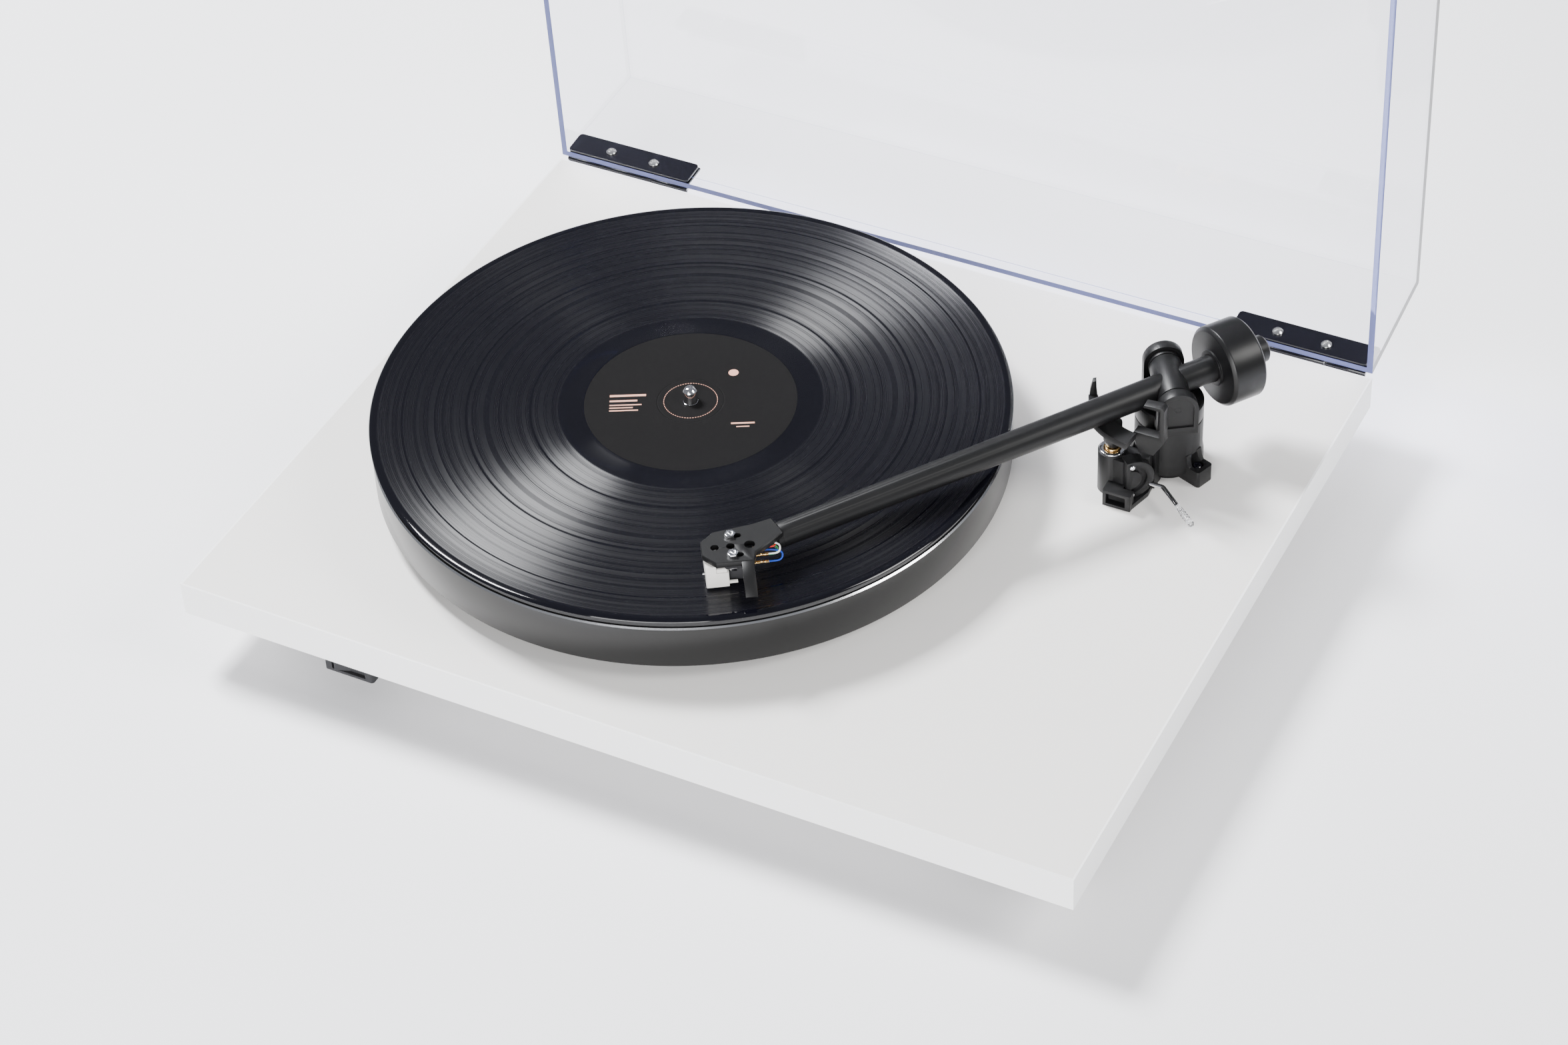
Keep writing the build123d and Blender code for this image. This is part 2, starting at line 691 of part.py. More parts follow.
ROCKER_H = 9.2
ROCKER_HALF = 8.0
ROCKER_TILT = 8.0
ROCKER_PIN_R = 1.0
ROCKER_Y = SWITCH_FRONT + 5.5
SWITCH_MID = UNDER - SWITCH_H / 2
WINDOW_H = ROCKER_H + 2 * APART
with BuildPart() as switch_case:
    slab(level(SWITCH_X, SWITCH_Y, UNDER - SWITCH_H), SWITCH_W, SWITCH_D, SWITCH_H, 1.5)
    window = facing(SWITCH_X, SWITCH_FRONT - 1, SWITCH_MID, (0, 1, 0), (1, 0, 0))
    slab(window, 2 * ROCKER_HALF + 1.8, WINDOW_H, 15.0, mode=Mode.SUBTRACT)
    rod(level(SWITCH_X, ROCKER_Y, SWITCH_MID - 6.2), ROCKER_PIN_R + RUN, 12.4, Mode.SUBTRACT)
    for x, y in SWITCH_SPOTS:
        slab(level(x, y, UNDER - EAR_T), EAR_W, EAR_W, EAR_T)
    for x, y in SWITCH_SPOTS:
        rod(level(x, y, UNDER - EAR_T), SCREW_SHANK_R + RUN, EAR_T, Mode.SUBTRACT)
keep(switch_case, "switch_case")

with BuildPart() as power_rocker:
    rocker_plane = place(level(SWITCH_X, ROCKER_Y, SWITCH_MID - ROCKER_H / 2), turn=(0, 0, ROCKER_TILT))
    rise = ROCKER_HALF * math.tan(math.radians(ROCKER_TILT))
    rocker_outline = [
        (-ROCKER_HALF, -4.1 - rise),
        (0, -4.1),
        (ROCKER_HALF, -4.1 - rise),
        (ROCKER_HALF, 1.0),
        (3.0, 5.0),
        (-3.0, 5.0),
        (-ROCKER_HALF, 1.0),
    ]
    prism(rocker_plane, rocker_outline, ROCKER_H)
    rod(level(SWITCH_X, ROCKER_Y, SWITCH_MID - 6.0), ROCKER_PIN_R, 12.0)
keep(power_rocker, "power_rocker")

# ======================= Lid and hinges =======================
# LID is the closed lid's frame, turned open: origin on the hinge axis, Z up when closed.
LID = facing(0, HINGE_Y, HINGE_UP, (0, math.sin(OPEN), math.cos(OPEN)), (1, 0, 0))
# WALL follows the rear wall: its outer face is Y = 0, and Z runs up the wall.
WALL = place(LID, y=-HINGE_OUT, turn=(LID_DRAFT, 0, 0))
RIM = place(LID, y=-HINGE_OUT - LID_DEPTH / 2, z=RIM_GAP - HINGE_UP)
PLATE_LOW = 0.2
PLATE_HIGH = 14.3
LID_SCREW_Z = 6.4
LID_SCREW_R = 1.5
LID_SCREW_SPOTS = [
    side * HINGE_X + step * HINGE_SCREW_SPACING / 2 for side in (-1, 1) for step in (-1, 1)
]
KNUCKLE_HALF = 14.0
KNUCKLE_GAP = 0.3

with BuildPart() as dust_cover:
    with BuildSketch(RIM) as outer_rim:
        Rectangle(LID_W, LID_DEPTH)
    extrude(amount=LID_H, taper=LID_DRAFT)
    with BuildSketch(RIM) as inner_rim:
        Rectangle(LID_W - 2 * LID_WALL, LID_DEPTH - 2 * LID_WALL)
    extrude(amount=LID_H - LID_WALL, taper=LID_DRAFT, mode=Mode.SUBTRACT)
    for x in LID_SCREW_SPOTS:
        hole = place(WALL, x=x, y=-LID_WALL - 2, z=LID_SCREW_Z, turn=(-90, 0, 0))
        rod(hole, LID_SCREW_R + 0.1, LID_WALL + 4, Mode.SUBTRACT)
keep(dust_cover, "dust_cover")

HINGE_SPOTS = (-HINGE_X, HINGE_X)
HINGE = facing(0, HINGE_Y, HINGE_UP, (0, 0, 1), (1, 0, 0))
with BuildPart() as hinge_brackets:
    for x in HINGE_SPOTS:
        top = -KNUCKLE_R - 0.25
        slab(place(HINGE, x, LEAF_T / 2 - HINGE_OUT, -15.0), HINGE_L, LEAF_T, 15.0 + top)
        slab(
            place(HINGE, x, LEAF_T / 2 - HINGE_OUT, top - 0.5),
            2 * KNUCKLE_HALF,
            LEAF_T,
            0.2 - top,
        )
        rod(place(HINGE, x - KNUCKLE_HALF, turn=(0, 90, 0)), KNUCKLE_R, 2 * KNUCKLE_HALF)
    for x in HINGE_SPOTS:
        rod(place(HINGE, x - HINGE_L / 2, turn=(0, 90, 0)), PIN_R + 0.02, HINGE_L, Mode.SUBTRACT)
    for x in BRACKET_SPOTS:
        start = facing(x, PLINTH_D / 2 - 1, BRACKET_SCREW_Z, (0, 1, 0), (-1, 0, 0))
        rod(start, BRACKET_SCREW_R + RUN, 5, Mode.SUBTRACT)
keep(hinge_brackets, "hinge_brackets")

with BuildPart() as hinge_bracket_screws:
    for x in BRACKET_SPOTS:
        seat = facing(x, PLINTH_D / 2 + LEAF_T, BRACKET_SCREW_Z, (0, -1, 0), (1, 0, 0))
        pan_screw(seat, BRACKET_SCREW_R, BRACKET_SCREW_L, 2.8, 1.6)
keep(hinge_bracket_screws, "hinge_bracket_screws")

with BuildPart() as hinge_pins:
    for x in HINGE_SPOTS:
        rod(place(HINGE, x - HINGE_L / 2, turn=(0, 90, 0)), PIN_R, HINGE_L)
keep(hinge_pins, "hinge_pins")

side_length = HINGE_L / 2 - KNUCKLE_HALF - KNUCKLE_GAP
side_centre = KNUCKLE_HALF + KNUCKLE_GAP + side_length / 2
with BuildPart() as hinge_leaves:
    for x in HINGE_SPOTS:
        slab(place(WALL, x, LEAF_T / 2, 1.5), HINGE_L, LEAF_T, LEAF_H - 1.5)
        for side in (-1, 1):
            middle = x + side * side_centre
            slab(place(WALL, middle, LEAF_T / 2, 0.1), side_length, LEAF_T, 2.0)
            rod(place(LID, middle - side_length / 2, turn=(0, 90, 0)), KNUCKLE_R, side_length)
    for x in HINGE_SPOTS:
        rod(place(LID, x - HINGE_L / 2, turn=(0, 90, 0)), PIN_R + RUN, HINGE_L, Mode.SUBTRACT)
    for x in LID_SCREW_SPOTS:
        hole = place(WALL, x=x, y=-1, z=LID_SCREW_Z, turn=(-90, 0, 0))
        rod(hole, LID_SCREW_R + RUN, 4, Mode.SUBTRACT)
keep(hinge_leaves, "hinge_leaves")

PLATE_T = 1.2
with BuildPart() as hinge_plates:
    for x in HINGE_SPOTS:
        plate_face = place(WALL, x, -LID_WALL - SEAT, (PLATE_LOW + PLATE_HIGH) / 2, (90, 0, 0))
        slab(plate_face, HINGE_L, PLATE_HIGH - PLATE_LOW, PLATE_T, 2.0)
    for x in LID_SCREW_SPOTS:
        hole = place(WALL, x=x, y=-LID_WALL - 3, z=LID_SCREW_Z, turn=(-90, 0, 0))
        rod(hole, LID_SCREW_R + RUN, 5, Mode.SUBTRACT)
keep(hinge_plates, "hinge_plates")

with BuildPart() as hinge_plate_screws:
    for x in LID_SCREW_SPOTS:
        seat = place(WALL, x, -LID_WALL - SEAT - PLATE_T, LID_SCREW_Z, (-90, 0, 0))
        pan_screw(seat, LID_SCREW_R, PLATE_T + LID_WALL + LEAF_T, 2.7, 1.6)
keep(hinge_plate_screws, "hinge_plate_screws")

# ======================= Arm base and lift =======================
BASE_FOOT_R = 12.5
BASE_FOOT_H = 4.0
WEB_REACH = 21.4
CLIP_BAR_H = 4.0
TUBE_UNDER = ARM_LEVEL - TUBE_ROOT_R
SHAFT_FOOT = ARM_SHAFT_BOTTOM + 2.0

with BuildPart() as arm_base:
    turned(
        PIVOT,
        [
            (ARM_SHAFT_R + SLIP, COLUMN_TOP),
            (COLUMN_R - 0.6, COLUMN_TOP),
            (COLUMN_R, COLUMN_TOP - 0.6),
            (COLUMN_R, 13.0),
            (COLUMN_R + 0.6, 9.0),
            (COLUMN_R + 0.6, BASE_FOOT_H + 0.8),
            (BASE_FOOT_R, BASE_FOOT_H),
            (BASE_FOOT_R, 0),
            (HOUSING_R, 0),
            (HOUSING_R, ARM_SHAFT_BOTTOM),
            (0, ARM_SHAFT_BOTTOM),
            (0, SHAFT_FOOT),
            (ARM_SHAFT_R + SLIP, SHAFT_FOOT),
        ],
    )
    lug_in = ARM_SHAFT_R + 3.0
    for a in LUG_ANGLES:
        arm_lug = place(PIVOT, turn=(0, 0, a))
        slab(place(arm_lug, (lug_in + LUG_REACH) / 2), LUG_REACH - lug_in, LUG_W, LUG_H, 1.5)
        prism(
            place(arm_lug, COLUMN_R - 2, LUG_W / 2, LUG_H - 1, (90, 0, 0)),
            [(0, 0), (4.6, 0), (2.6, 3.0), (2.0, 7.0), (0, 7.0)],
            LUG_W,
        )
    for a in LUG_ANGLES:
        arm_lug = place(PIVOT, turn=(0, 0, a))
        rod(place(arm_lug, LUG_SCREW_R, z=LUG_H - 2.6), 3.0, 8, Mode.SUBTRACT)
        rod(place(arm_lug, LUG_SCREW_R), ARM_SCREW_R + RUN, LUG_H, Mode.SUBTRACT)
    # Sloping web that ties the lift unit to the column.
    web = facing(PIVOT_X - 4.0, PIVOT_Y, 0, (1, 0, 0), (0, 1, 0))
    web_top = COLUMN_TOP - 1.4
    web_outline = [(-10, 0.4), (-10, web_top), (-19.2, web_top), (-WEB_REACH, 24.0), (-WEB_REACH, 0.4)]
    prism(place(web, z=-3.6), web_outline, 9.6)
    rod(place(PIVOT, z=SHAFT_FOOT), ARM_SHAFT_R + SLIP, COLUMN_TOP - SHAFT_FOOT, Mode.SUBTRACT)
keep(arm_base, "arm_base")

with BuildPart() as arm_base_screws:
    for x, y in LUG_SPOTS:
        seat = facing(x, y, LUG_H - 2.6, (0, 0, -1), (1, 0, 0))
        pan_screw(seat, ARM_SCREW_R, LUG_H - 2.6 + ARM_SCREW_BITE, 2.8, 2.2)
keep(arm_base_screws, "arm_base_screws")

lift_angle = math.radians(LIFT_AZIMUTH)
LIFT_X = PIVOT_X + LIFT_R * math.cos(lift_angle)
LIFT_Y = PIVOT_Y + LIFT_R * math.sin(lift_angle)
LIFT = level(LIFT_X, LIFT_Y, 0)
PISTON_R = 2.0
BUSH_R = 3.5
BUSH_TOP = 25.0
BEZEL_R = 6.2
LEVER_R = 1.1
CAM_X = 151.0
CAM_Y = 53.0
CAM_Z = 13.3
CAM_R = 10.6
CAM_T = 6.6
CAM_AZIMUTH = 45.0
cam_turn = math.radians(CAM_AZIMUTH)
# Plane of the cam cover: X runs back along the cover, Y is up, Z faces the player's front right.
CAM = facing(
    CAM_X,
    CAM_Y,
    CAM_Z,
    (math.sin(cam_turn), -math.cos(cam_turn), 0),
    (math.cos(cam_turn), math.sin(cam_turn), 0),
)
WEB_FRONT_Y = PIVOT_Y - WEB_REACH


def cam_shape(plane, grow, height, mode=Mode.ADD):
    """The D-shaped outline of the cam cover, standing on the plane."""
    with BuildSketch(plane) as outline:
        Circle(CAM_R + grow)
        with Locations((-CAM_R - grow, 0)):
            Rectangle(2 * (CAM_R + grow), 2 * (CAM_R + grow), mode=Mode.SUBTRACT)
        with Locations((-1.4, 0)):
            Rectangle(3.4 + 2 * grow, 2 * (CAM_R + grow))
    extrude(outline.sketch.faces(), amount=height, dir=plane.z_dir, mode=mode)


box_mid_x = (BOX_X0 + BOX_X1) / 2
with BuildPart() as lift_body:
    rod(LIFT, LIFT_BODY_R, LIFT_TOP)
    slab(level(box_mid_x, BOX_FRONT + 2.4, 0), BOX_X1 - BOX_X0, 4.8, BOX_H, 0.5)
    box_run = WEB_FRONT_Y - BOX_FRONT
    slab(level(BOX_X0 + 4.2, BOX_FRONT + box_run / 2 + 1.2, 0), 8.4, box_run - 2.4, BOX_H)
    floor_outline = [(-13.5, 0.6), (-0.4, 0.6), (3.4, 14.0), (3.0, box_run), (-13.5, box_run)]
    prism(level(BOX_X1, BOX_FRONT, 0), floor_outline, 2.6)
    cam_run = WEB_FRONT_Y - CAM_Y
    back_outline = [(-8.0, -2.0), (-3.0, -2.4), (6.6, 6.0), (6.6, cam_run), (-8.0, cam_run)]
    prism(level(CAM_X, CAM_Y, 0), back_outline, LIFT_TOP - 0.8)
    pocket = facing(box_mid_x - 0.4, BOX_FRONT - 1, BOX_H / 2, (0, 1, 0), (1, 0, 0))
    slab(pocket, BOX_X1 - BOX_X0 - 4.4, BOX_H - 3.2, 4.4, mode=Mode.SUBTRACT)
    rod(place(LIFT, z=4.0), BUSH_R + SLIP, LIFT_TOP, Mode.SUBTRACT)
    rod(facing(CAM_X - 3, LEVER_Y, LEVER_Z, (1, 0, 0), (0, 1, 0)), LEVER_R + RUN, 18, Mode.SUBTRACT)
    cam_shape(place(CAM, z=-CAM_T / 2 - SLIP), SLIP, CAM_T + 2 * SLIP, Mode.SUBTRACT)
keep(lift_body, "lift_body")

with BuildPart() as lift_bezel:
    rod(place(LIFT, z=LIFT_TOP), BEZEL_R, 0.9)
    rod(place(LIFT, z=LIFT_TOP), BUSH_R + 0.5, 0.9, Mode.SUBTRACT)
    bezel_rims = lift_bezel.edges().filter_by(GeomType.CIRCLE).group_by(Axis.Z)[-1]
    chamfer(bezel_rims, 0.3)
keep(lift_bezel, "lift_bezel")

with BuildPart() as lift_bush:
    rod(place(LIFT, z=8.0), BUSH_R, BUSH_TOP - 8.0)
    rod(place(LIFT, z=8.0), PISTON_R + RUN, BUSH_TOP - 8.0, Mode.SUBTRACT)
keep(lift_bush, "lift_bush")

with BuildPart() as lift_cam_cover:
    cam_shape(place(CAM, z=-CAM_T / 2), 0, CAM_T)
    with BuildSketch(place(CAM, z=CAM_T / 2 - 1.6)) as cover_groove:
        with Locations((-1.0, 0)):
            Circle(CAM_R - 2.6)
            Circle(CAM_R - 5.4, mode=Mode.SUBTRACT)
            with Locations((-CAM_R, 0)):
                Rectangle(2 * CAM_R, 2 * CAM_R, mode=Mode.SUBTRACT)
    extrude(amount=2.0, mode=Mode.SUBTRACT)
    rod(facing(CAM_X - 12, LEVER_Y, LEVER_Z, (1, 0, 0), (0, 1, 0)), LEVER_R + 0.4, 40, Mode.SUBTRACT)
    for up in (-1, 1):
        rod(place(CAM, -0.8, up * 8.3, -CAM_T), 0.85, 2 * CAM_T, Mode.SUBTRACT)
    slab(level(CAM_X, CAM_Y, -30), 60, 60, 32.7, mode=Mode.SUBTRACT)
keep(lift_cam_cover, "lift_cam_cover")

with BuildPart() as lift_cover_screws:
    for up in (-1, 1):
        seat = place(CAM, -0.8, up * 8.3, CAM_T / 2, (180, 0, 0))
        rod(seat, 0.8, CAM_T)
        turned(
            place(CAM, -0.8, up * 8.3, CAM_T / 2),
            [(0, 0), (1.1, 0), (1.35, 0.5), (1.25, 1.1), (0.8, 1.6), (0, 1.75)],
        )
keep(lift_cover_screws, "lift_cover_screws")

# Arm rest: a bar from the web and a jaw that is open towards the record.
CLIP_BACK = 25.6
CLIP_DEPTH = 5.0
REST_TOP = TUBE_UNDER - 0.3
JAW_IN = TUBE_ROOT_R + 0.6
JAW_T = 2.2
JAW_UNDER = ARM_LEVEL + TUBE_ROOT_R + 2.0
with BuildPart() as arm_rest_clip:
    bar_in = COLUMN_R + APART
    bar_out = CLIP_BACK + CLIP_DEPTH
    bar_mid = PIVOT_Y - (bar_in + bar_out) / 2
    slab(level(PIVOT_X + 1.0, bar_mid, COLUMN_TOP - 1.4), 7.0, bar_out - bar_in, CLIP_BAR_H)
    jaw = facing(PIVOT_X, PIVOT_Y - CLIP_BACK, 0, (0, -1, 0), (1, 0, 0))
    prism(
        jaw,
        [
            (-6.0, REST_TOP - 1.6),
            (-2.5, COLUMN_TOP - 1.4),
            (4.5, COLUMN_TOP - 1.4),
            (JAW_IN + JAW_T, REST_TOP - 3.0),
            (JAW_IN + JAW_T, JAW_UNDER + JAW_T - 1.5),
            (JAW_IN + JAW_T - 1.5, JAW_UNDER + JAW_T),
            (-0.6, JAW_UNDER + JAW_T - 0.6),
            (-1.2, JAW_UNDER),
            (JAW_IN, JAW_UNDER),
            (JAW_IN, REST_TOP),
            (-5.2, REST_TOP),
        ],
        CLIP_DEPTH,
    )
keep(arm_rest_clip, "arm_rest_clip")

# ======================= Lift lever and platform =======================
ELBOW_X = 165.5
TIP_X = 187.6
TIP_Y = 38.4
GRIP_FROM = 0.5
with BuildPart() as lift_lever:
    knee = (ELBOW_X + GRIP_FROM * (TIP_X - ELBOW_X), LEVER_Y + GRIP_FROM * (TIP_Y - LEVER_Y))
    with BuildLine(level(0, 0, LEVER_Z)) as lever_path:
        FilletPolyline((CAM_X - 2, LEVER_Y), (ELBOW_X, LEVER_Y), knee, radius=2.6)
    with BuildSketch(lever_path.line ^ 0):
        Circle(LEVER_R)
    sweep()
keep(lift_lever, "lift_lever")

GRIP_LENGTH = math.hypot(TIP_X - ELBOW_X, TIP_Y - LEVER_Y) * (1 - GRIP_FROM)
grip_dir = ((TIP_X - ELBOW_X), (TIP_Y - LEVER_Y), 0)
with BuildPart() as lever_grip:
    grip = facing(*knee, LEVER_Z, grip_dir, (0, 0, 1))
    grip_profile = [(0, 0), (1.2, 0), (1.55, 1.2)]
    for rib in range(5):
        grip_profile += [
            (1.55, 2.6 + rib * 1.9),
            (1.25, 2.9 + rib * 1.9),
            (1.25, 3.7 + rib * 1.9),
            (1.55, 4.0 + rib * 1.9),
        ]
    grip_profile += [(1.55, GRIP_LENGTH - 0.8), (1.1, GRIP_LENGTH), (0, GRIP_LENGTH)]
    turned(grip, grip_profile)
keep(lever_grip, "lever_grip")

PLATFORM_IN = 31.6
PLATFORM_OUT = 40.6
ARM_STRIP_OUT = 37.6
PLATFORM_FROM = -157.0
PLATFORM_WIDE_FROM = -128.0
PLATFORM_TO = -97.0
PLATFORM_T = 3.4
PLATFORM_TOP = TUBE_UNDER - APART
STEM_R = 4.4


def arc_strip(plane, inner, outer, start, end, height):
    """A flat strip between two arcs about the plane's Z, standing on the plane."""
    with BuildSketch(plane) as strip:
        with BuildLine():
            outside = CenterArc((0, 0), outer, start, end - start)
            inside = CenterArc((0, 0), inner, start, end - start)
            Line(outside @ 0, inside @ 0)
            Line(outside @ 1, inside @ 1)
        make_face()
    extrude(strip.sketch.faces(), amount=height, dir=plane.z_dir)


with BuildPart() as lift_platform:
    strip_plane = place(PIVOT, z=PLATFORM_TOP - PLATFORM_T)
    arc_strip(strip_plane, PLATFORM_IN, PLATFORM_OUT, PLATFORM_WIDE_FROM, PLATFORM_TO, PLATFORM_T)
    narrow_in = PLATFORM_IN + 1.4
    narrow_to = PLATFORM_WIDE_FROM + 1
    arc_strip(strip_plane, narrow_in, ARM_STRIP_OUT, PLATFORM_FROM, narrow_to, PLATFORM_T)
    horn = place(PIVOT, turn=(0, 0, PLATFORM_FROM))
    prism(
        place(horn, PLATFORM_IN + 1.8, 0.6, PLATFORM_TOP - 1.0, (90, 0, 0)),
        [(0, 0), (3.8, 0), (3.2, 5.0), (2.2, 9.2), (0.6, 9.6), (0.4, 4.0)],
        2.8,
    )
    turned(
        LIFT,
        [
            (0, BUSH_TOP + 1.0),
            (STEM_R - 1.2, BUSH_TOP + 1.0),
            (STEM_R, BUSH_TOP + 4.0),
            (STEM_R, PLATFORM_TOP - 1.0),
            (0, PLATFORM_TOP - 1.0),
        ],
    )
    rod(place(LIFT, z=12.0), PISTON_R, BUSH_TOP + 2.0 - 12.0)
keep(lift_platform, "lift_platform")

# ======================= Yoke =======================
PIN_HALF = CROSS_HALF + APART + UPRIGHT_T
PIVOT_PIN_R = 1.5
with BuildPart() as arm_yoke:
    turned(
        PIVOT,
        [
            (0, COLUMN_TOP + APART),
            (COLUMN_R, COLUMN_TOP + APART),
            (COLUMN_R, YOKE_TOP - 0.7),
            (COLUMN_R - 0.7, YOKE_TOP),
            (0, YOKE_TOP),
        ],
    )
    yoke_bar = place(CROSS, z=UPRIGHT_FOOT - ARM_LEVEL)
    slab(yoke_bar, UPRIGHT_W, 2 * PIN_HALF, YOKE_TOP - UPRIGHT_FOOT, 1.2)
    for side in (-1, 1):
        # Each upright is an arch about the bearing axis, with a shallow panel in its outer face.
        inner = side * (CROSS_HALF + APART)
        face = place(CROSS, y=inner, turn=(-90 * side, 0, 0))
        with BuildSketch(face) as arch:
            Circle(UPRIGHT_W / 2)
            with Locations((0, side * (ARM_LEVEL - UPRIGHT_FOOT) / 2)):
                Rectangle(UPRIGHT_W, ARM_LEVEL - UPRIGHT_FOOT)
        extrude(arch.sketch.faces(), amount=UPRIGHT_T, dir=face.z_dir)
        panel_face = place(face, z=UPRIGHT_T - 0.9)
        with BuildSketch(panel_face) as panel:
            Circle(UPRIGHT_W / 2 - 2.2)
            with Locations((0, side * 5.0)):
                Rectangle(UPRIGHT_W - 4.4, 10.0)
        extrude(panel.sketch.faces(), amount=2.0, dir=face.z_dir, mode=Mode.SUBTRACT)
    pin_bore = place(CROSS, y=-PIN_HALF - 1, turn=(-90, 0, 0))
    rod(pin_bore, PIVOT_PIN_R + SLIP, 2 * PIN_HALF + 2, Mode.SUBTRACT)
    rod(place(PIVOT, z=COLUMN_TOP), ARM_SHAFT_R + SLIP, 5.5, Mode.SUBTRACT)
keep(arm_yoke, "arm_yoke")

with BuildPart() as yoke_pins:
    for side in (-1, 1):
        start = place(CROSS, y=side * (CROSS_HALF - 4.0), turn=(-90 * side, 0, 0))
        rod(start, PIVOT_PIN_R, 4.0 + APART + UPRIGHT_T - 0.9)
    rod(place(PIVOT, z=SHAFT_FOOT + 0.1), ARM_SHAFT_R, COLUMN_TOP + 5.4 - SHAFT_FOOT - 0.1)
keep(yoke_pins, "yoke_pins")

# ======================= Arm =======================
ALONG = (0, 90, 0)
SPIGOT_R = TUBE_ROOT_R - TUBE_WALL - SLIP
SPIGOT_END = 22.0
PLUG_R = TUBE_TIP_R - TUBE_WALL - SLIP
PLUG_START = 196.0
COLLAR = 2.5

with BuildPart() as bearing_crosspiece:
    rod(place(CROSS, y=-CROSS_HALF, turn=(-90, 0, 0)), CROSS_R, 2 * CROSS_HALF)
    for side in (-1, 1):
        ring = place(CROSS, y=side * (CROSS_HALF - 2.2), turn=(-90, 0, 0))
        turned(
            ring,
            [(CROSS_R - 0.4, -0.35), (CROSS_R + 1, -0.35), (CROSS_R + 1, 0.35), (CROSS_R - 0.4, 0.35)],
            Mode.SUBTRACT,
        )
        bore_start = place(CROSS, y=side * (CROSS_HALF - 4.2), turn=(-90 * side, 0, 0))
        rod(bore_start, PIVOT_PIN_R + RUN, 6, Mode.SUBTRACT)
    rod(place(ARM, -20, turn=ALONG), SPIGOT_R + SLIP, 40, Mode.SUBTRACT)
keep(bearing_crosspiece, "bearing_crosspiece")

with BuildPart() as arm_tube:
    root_in = TUBE_ROOT_R - TUBE_WALL
    tip_in = TUBE_TIP_R - TUBE_WALL
    turned(
        place(ARM, turn=ALONG),
        [
            (root_in, 0),
            (TUBE_ROOT_R, 0),
            (TUBE_TIP_R, TUBE_END),
            (tip_in, TUBE_END),
            (tip_in, PLUG_START - 1),
            (root_in, SPIGOT_END + 2),
        ],
    )
    rod(place(CROSS, y=-20, turn=(-90, 0, 0)), CROSS_R + SLIP, 40, Mode.SUBTRACT)
keep(arm_tube, "arm_tube")

with BuildPart() as arm_stub:
    back = place(ARM, turn=(0, -90, 0))
    turned(back, [(0, 0), (STUB_R, 0), (STUB_R, STUB_END - 1), (STUB_R - 1, STUB_END), (0, STUB_END)])
    rod(place(CROSS, y=-20, turn=(-90, 0, 0)), CROSS_R + SLIP, 40, Mode.SUBTRACT)
    rod(place(back, z=-SPIGOT_END), SPIGOT_R, SPIGOT_END + 14)
keep(arm_stub, "arm_stub")

WEIGHT_BORE_R = STUB_R + RUN
with BuildPart() as counterweight:
    turned(
        place(ARM, turn=(0, -90, 0)),
        [
            (WEIGHT_BORE_R, WEIGHT_START - 1.0),
            (WEIGHT_BORE_R + 2.2, WEIGHT_START - 1.0),
            (WEIGHT_BORE_R + 2.2, WEIGHT_START),
            (WEIGHT_R - 1.6, WEIGHT_START),
            (WEIGHT_R, WEIGHT_START + 1.6),
            (WEIGHT_R, WEIGHT_START + WEIGHT_L - 1.2),
            (WEIGHT_R - 1.2, WEIGHT_START + WEIGHT_L),
            (WEIGHT_BORE_R, WEIGHT_START + WEIGHT_L),
        ],
    )
keep(counterweight, "counterweight")

# ======================= Headshell and cartridge =======================
# In SHELL, X is forward, Y is towards the near side, Z = 0 is the plate's top face.
near_back = (-23.4, -5.6)
far_back = (-19.3, -15.8)
SLOT_R = 1.45
with BuildPart() as headshell:
    with BuildSketch(place(SHELL, z=-SHELL_T)) as plate:
        with BuildLine():
            Polyline(
                (SHELL_FRONT, -4.5),
                (SHELL_FRONT, 4.5),
                (SHELL_FRONT - 5.8, SHELL_HALF),
                (-9.0, SHELL_HALF),
                (-10.4, 5.2),
                (-16.0, 1.2),
                near_back,
                far_back,
                (-10.5, -13.2),
                (SHELL_FRONT - 5.8, -SHELL_HALF + 0.6),
                close=True,
            )
        make_face()
        for hole_x, hole_r in ((7.5, 1.9), (0.5, 1.9), (-8.0, 2.4)):
            with Locations((hole_x, 0.3)):
                Circle(hole_r, mode=Mode.SUBTRACT)
        for side in (-1, 1):
            with Locations((-1.6, side * SCREW_SPACING / 2)):
                SlotOverall(2 * SLOT_R + 3.6, 2 * SLOT_R, mode=Mode.SUBTRACT)
    extrude(amount=SHELL_T)
    plate_rim = headshell.faces().sort_by(Axis.Z)[-1].outer_wire().edges()
    chamfer(plate_rim, 0.4)
    # Finger lift: a narrow tab that leaves the near edge and curves down.
    finger_from = place(SHELL, x=-8.8).origin
    prism(
        Plane(origin=finger_from, x_dir=SHELL.y_dir, z_dir=SHELL.x_dir),
        [
            (9.0, -0.4),
            (12.0, -0.4),
            (18.0, -2.9),
            (25.4, -8.4),
            (24.4, -9.8),
            (17.2, -4.8),
            (11.6, -2.3),
            (9.0, -2.3),
        ],
        5.4,
    )
    # Socket: a plug in the tube, a collar against its end and a half neck under the plate.
    rod(place(ARM, PLUG_START, turn=ALONG), PLUG_R, TUBE_END + COLLAR - PLUG_START)
    rod(place(ARM, TUBE_END + RUN, turn=ALONG), TUBE_TIP_R, COLLAR - RUN)
    slab(
        place(ARM, TUBE_END + COLLAR + 3.0, -3.45, -2.0),
        7.0,
        4.9,
        SHELL_TOP - SHELL_T + 0.5 - ARM_LEVEL + 2.0,
    )
    # Anchor block that the lead wires come out of.
    slab(place(SHELL, -11.25, -4.9, -SHELL_T - 4.6), 2.5, 3.4, 5.0)
    slab(place(SHELL, -11.25, -2.7, -SHELL_T - 4.6), 2.5, 1.6, 1.3)
keep(headshell, "headshell")

